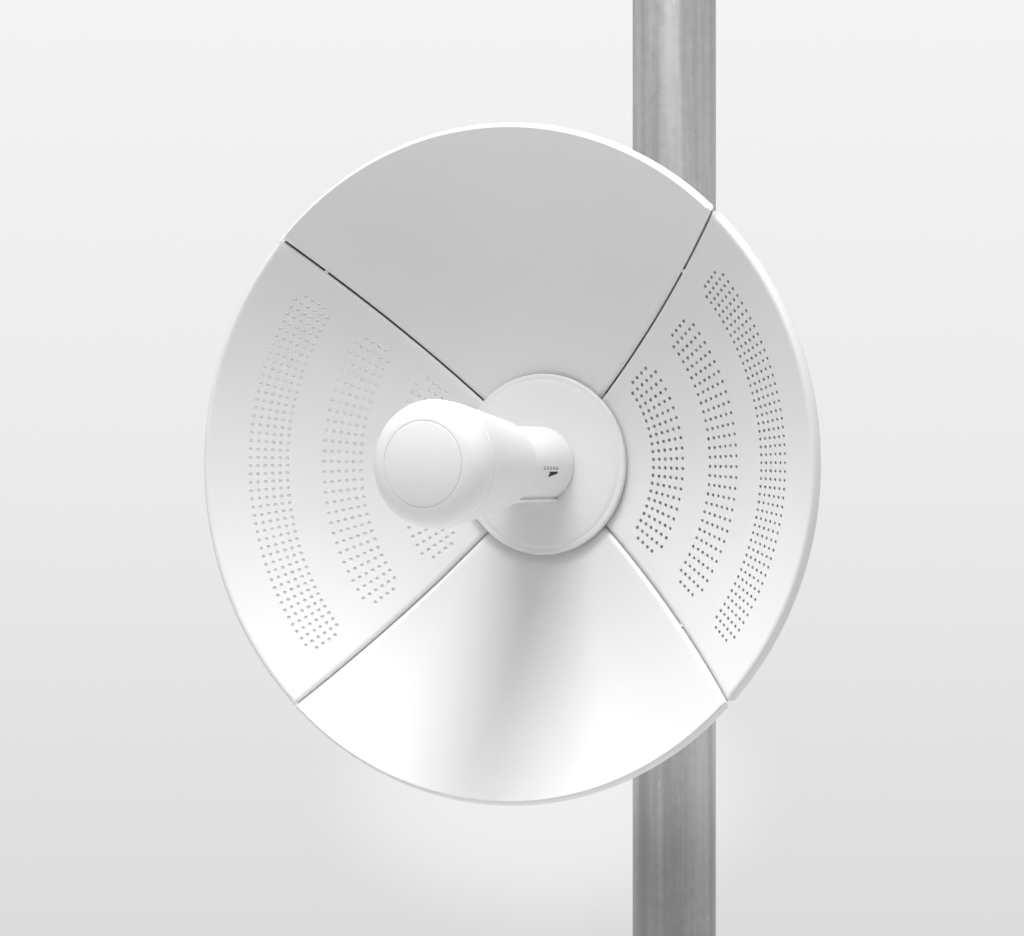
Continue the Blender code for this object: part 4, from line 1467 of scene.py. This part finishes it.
class ANTENNA_OT_bolts(bpy.types.Operator):
    """Make the clamp's four long bolts, the pivot bolt and the lock bolt"""

    bl_idname = "antenna.bolts"
    bl_label = "Bolts"

    def execute(self, context):
        head_face = -(JAW_FAR + SHEET + 2 * SEAT_GAP)
        nut_face = JAW_FAR + SEAT_GAP
        for height, rise in (("lower", -BOLT_RISE), ("upper", BOLT_RISE)):
            for side, x in (("left", -BOLT_SIDE), ("right", BOLT_SIDE)):
                place = Matrix.Translation((x, 0.0, AXIS_HEIGHT + rise)) @ ALONG_Y
                item = bolt(f"jaw_bolt_{height}_{side}", head_face, nut_face, *JAW_BOLT_ENDS, place)
                settle(item, "clamp", "bright_steel", f"clamp_bolt_{height}_{side}")
        face = YOKE_INNER_HALF + SHEET + SEAT_GAP
        for node, rise, body in (("pivot_bolt", 0.0, "clamp"), ("lock_bolt", LOCK_RADIUS, "dish")):
            place = Matrix.Translation((0.0, PIVOT.y, PIVOT.z + rise)) @ ALONG_X
            settle(bolt("tilt_" + node, -face, face, *TILT_BOLT_ENDS, place), body, "bright_steel", node)
        return {"FINISHED"}


class ANTENNA_OT_pole(bpy.types.Operator):
    """Make the galvanised pole, its cap and its end plug"""

    bl_idname = "antenna.pole"
    bl_label = "Pole"

    def execute(self, context):
        sides = context.scene.antenna_mount.pole_sides
        outer, inner, top = POLE_HIGH.x, POLE_HIGH.x - POLE_WALL, POLE_HIGH.z
        tube = softened([(outer, 0), (outer, top), (inner, top), (inner, 0)], POLE_EDGE, True, 3)
        settle(turned("steel_pole", tube, sides, True), "mast", "galvanised_steel", "pole_tube")
        fitted = inner - 2 * SEAT_GAP
        plug = softened([(0, PLUG_THICKNESS), (fitted, PLUG_THICKNESS), (fitted, 0), (0, 0)], PLUG_EDGE)
        settle(turned("foot_plug", plug, sides), "mast", "galvanised_steel", "pole_end_plug")
        seat = top + SEAT_GAP
        rise = seat + CAP_THICKNESS
        dome = [(0, rise), (outer - 0.006, rise - 0.0003), (outer - 0.0014, rise - 0.0014)]
        dome += [(outer, seat + 0.001), (outer, seat)]
        spigot = [(fitted, seat), (fitted, seat - CAP_SPIGOT), (0, seat - CAP_SPIGOT)]
        cap = softened(dome + spigot, CAP_EDGE)
        settle(turned("top_cap", cap, sides), "mast", "grey_plastic", "pole_cap")
        return {"FINISHED"}


def add_floor(studio):
    bm = bmesh.new()
    bmesh.ops.create_circle(bm, cap_ends=True, segments=FLOOR_SIDES, radius=studio.floor_radius)
    floor = object_from(bm, "studio_floor")
    floor.data.materials.append(floor_finish(studio))


def add_world(scene, studio):
    """A pale background, lighter above, and a room that lights the antenna, dim on the camera's side."""
    scene.world = bpy.data.worlds.new("studio")
    scene.world.use_nodes = True
    scene.world.node_tree.nodes.clear()
    graph = Graph(scene.world.node_tree)
    x, y, z = graph.split(graph.add("ShaderNodeTexCoord", output="Generated"))
    stops = [(place, screen_grey(level)) for place, level in BACKGROUND_LEVELS]
    seen = graph.add("ShaderNodeValToRGB", {0: z * 2 + 0.5}, stops=stops)
    front = graph.between(y, -0.15, 0.15, 1.0, 0.0)
    left = graph.between(x, -0.15, 0.15, 1.0, 0.0)
    high = graph.between(z, -0.12, 0.12)
    above = graph.between(z, 0.45, 0.75)
    below = graph.between(z, -0.35, -0.65)
    upper = (1 - front) * (studio.walls * 0.5) + front * (1 - left) * (studio.walls * 0.2)
    lower = (1 - front) * studio.walls + front * left * (studio.walls * 0.65)
    walls = (1 - above) * high * upper + (1 - high) * (1 - below) * lower
    room = above * front * studio.ceiling + walls + below * studio.bounce
    aside = (x * cos(CAMERA_TURN) + y * sin(CAMERA_TURN) - GLOW_ASIDE) / GLOW_WIDTH
    up = (z + GLOW_DROP) / GLOW_HEIGHT
    glow = graph.between(aside * aside + up * up, 0.0, 1.0, 1.0, 0.0) * (y > 0)
    direct = graph.add("ShaderNodeLightPath", output="Is Camera Ray")
    shown = graph.add("ShaderNodeBackground", {"Color": seen, "Strength": 1 + studio.glow * glow})
    lighting = graph.add("ShaderNodeBackground", {"Color": (1.0, 1.0, 1.0), "Strength": room})
    both = graph.add("ShaderNodeMixShader", {0: direct, 1: lighting, 2: shown})
    graph.node("ShaderNodeOutputWorld", {"Surface": both})


def add_lights(scene, studio):
    """One soft light above the dish and a little in front of it, and a wide weak one that shines up."""
    over = Vector((0.0, VERTEX.y, AXIS_HEIGHT)) + LIGHT_PLACE
    low = Vector((0.0, VERTEX.y, LOW_LIGHT_HEIGHT))
    for name, power, size, place, aim in (
        ("overhead_light", studio.overhead, LIGHT_SIZE, over, -LIGHT_PLACE),
        ("low_light", studio.low_light, LOW_LIGHT_SIZE, low, Vector((0.0, 0.0, 1.0))),
    ):
        lamp = bpy.data.lights.new(name, "AREA")
        lamp.shape = "SQUARE"
        lamp.size = size
        lamp.energy = power
        item = bpy.data.objects.new(name, lamp)
        item.location = place
        item.rotation_euler = aim.to_track_quat("-Z", "Y").to_euler()
        item.visible_camera = False
        scene.collection.objects.link(item)


def add_camera(scene):
    camera = bpy.data.cameras.new("photo_camera")
    camera.sensor_width = SENSOR_WIDTH
    camera.lens = CAMERA_LENS
    item = bpy.data.objects.new("photo_camera", camera)
    back = Vector((sin(CAMERA_TURN), -cos(CAMERA_TURN), 0.0))
    left = Vector((-cos(CAMERA_TURN), -sin(CAMERA_TURN), 0.0))
    item.location = VERTEX + CAMERA_DISTANCE * back + CAMERA_SLIDE * left - Vector((0, 0, CAMERA_DROP))
    item.rotation_euler = (QUARTER, 0.0, CAMERA_TURN)
    scene.collection.objects.link(item)
    scene.camera = item


class ANTENNA_OT_studio(bpy.types.Operator):
    """Make the floor, the lights, the background and the camera"""

    bl_idname = "antenna.studio"
    bl_label = "Studio and camera"

    def execute(self, context):
        scene, studio = context.scene, context.scene.antenna_studio
        add_floor(studio)
        add_world(scene, studio)
        add_lights(scene, studio)
        add_camera(scene)
        scene.view_settings.view_transform = "Standard"
        return {"FINISHED"}


class ANTENNA_PT_pieces(bpy.types.Panel):
    """Lists the pieces of the antenna and their settings"""

    bl_idname = "ANTENNA_PT_pieces"
    bl_label = "Dish antenna"
    bl_space_type = "VIEW_3D"
    bl_region_type = "UI"
    bl_category = "Dish antenna"

    def draw(self, context):
        for group in SETTINGS:
            settings = getattr(context.scene, group)
            box = self.layout.box()
            for key in settings.bl_rna.properties.keys():
                if key not in ("rna_type", "name"):
                    box.prop(settings, key)
        for operator in OPERATORS:
            self.layout.operator(operator.bl_idname)


SETTINGS = {
    "antenna_reflector": ReflectorSettings,
    "antenna_hub": HubSettings,
    "antenna_feed": FeedSettings,
    "antenna_mount": MountSettings,
    "antenna_finishes": FinishSettings,
    "antenna_studio": StudioSettings,
}
OPERATORS = (
    ANTENNA_OT_studio, ANTENNA_OT_panels, ANTENNA_OT_strips, ANTENNA_OT_hub, ANTENNA_OT_feed,
    ANTENNA_OT_indicators, ANTENNA_OT_bracket, ANTENNA_OT_clamp, ANTENNA_OT_bolts, ANTENNA_OT_pole,
)


def register():
    for group, settings in SETTINGS.items():
        bpy.utils.register_class(settings)
        setattr(bpy.types.Scene, group, PointerProperty(type=settings))
    for shown in (*OPERATORS, ANTENNA_PT_pieces):
        bpy.utils.register_class(shown)


def unregister():
    for shown in reversed((*OPERATORS, ANTENNA_PT_pieces)):
        bpy.utils.unregister_class(shown)
    for group, settings in reversed(SETTINGS.items()):
        delattr(bpy.types.Scene, group)
        bpy.utils.unregister_class(settings)


def main():
    register()
    for operator in OPERATORS:
        group, name = operator.bl_idname.split(".")
        getattr(getattr(bpy.ops, group), name)()
    bpy.context.view_layer.update()


if __name__ == "__main__":
    main()
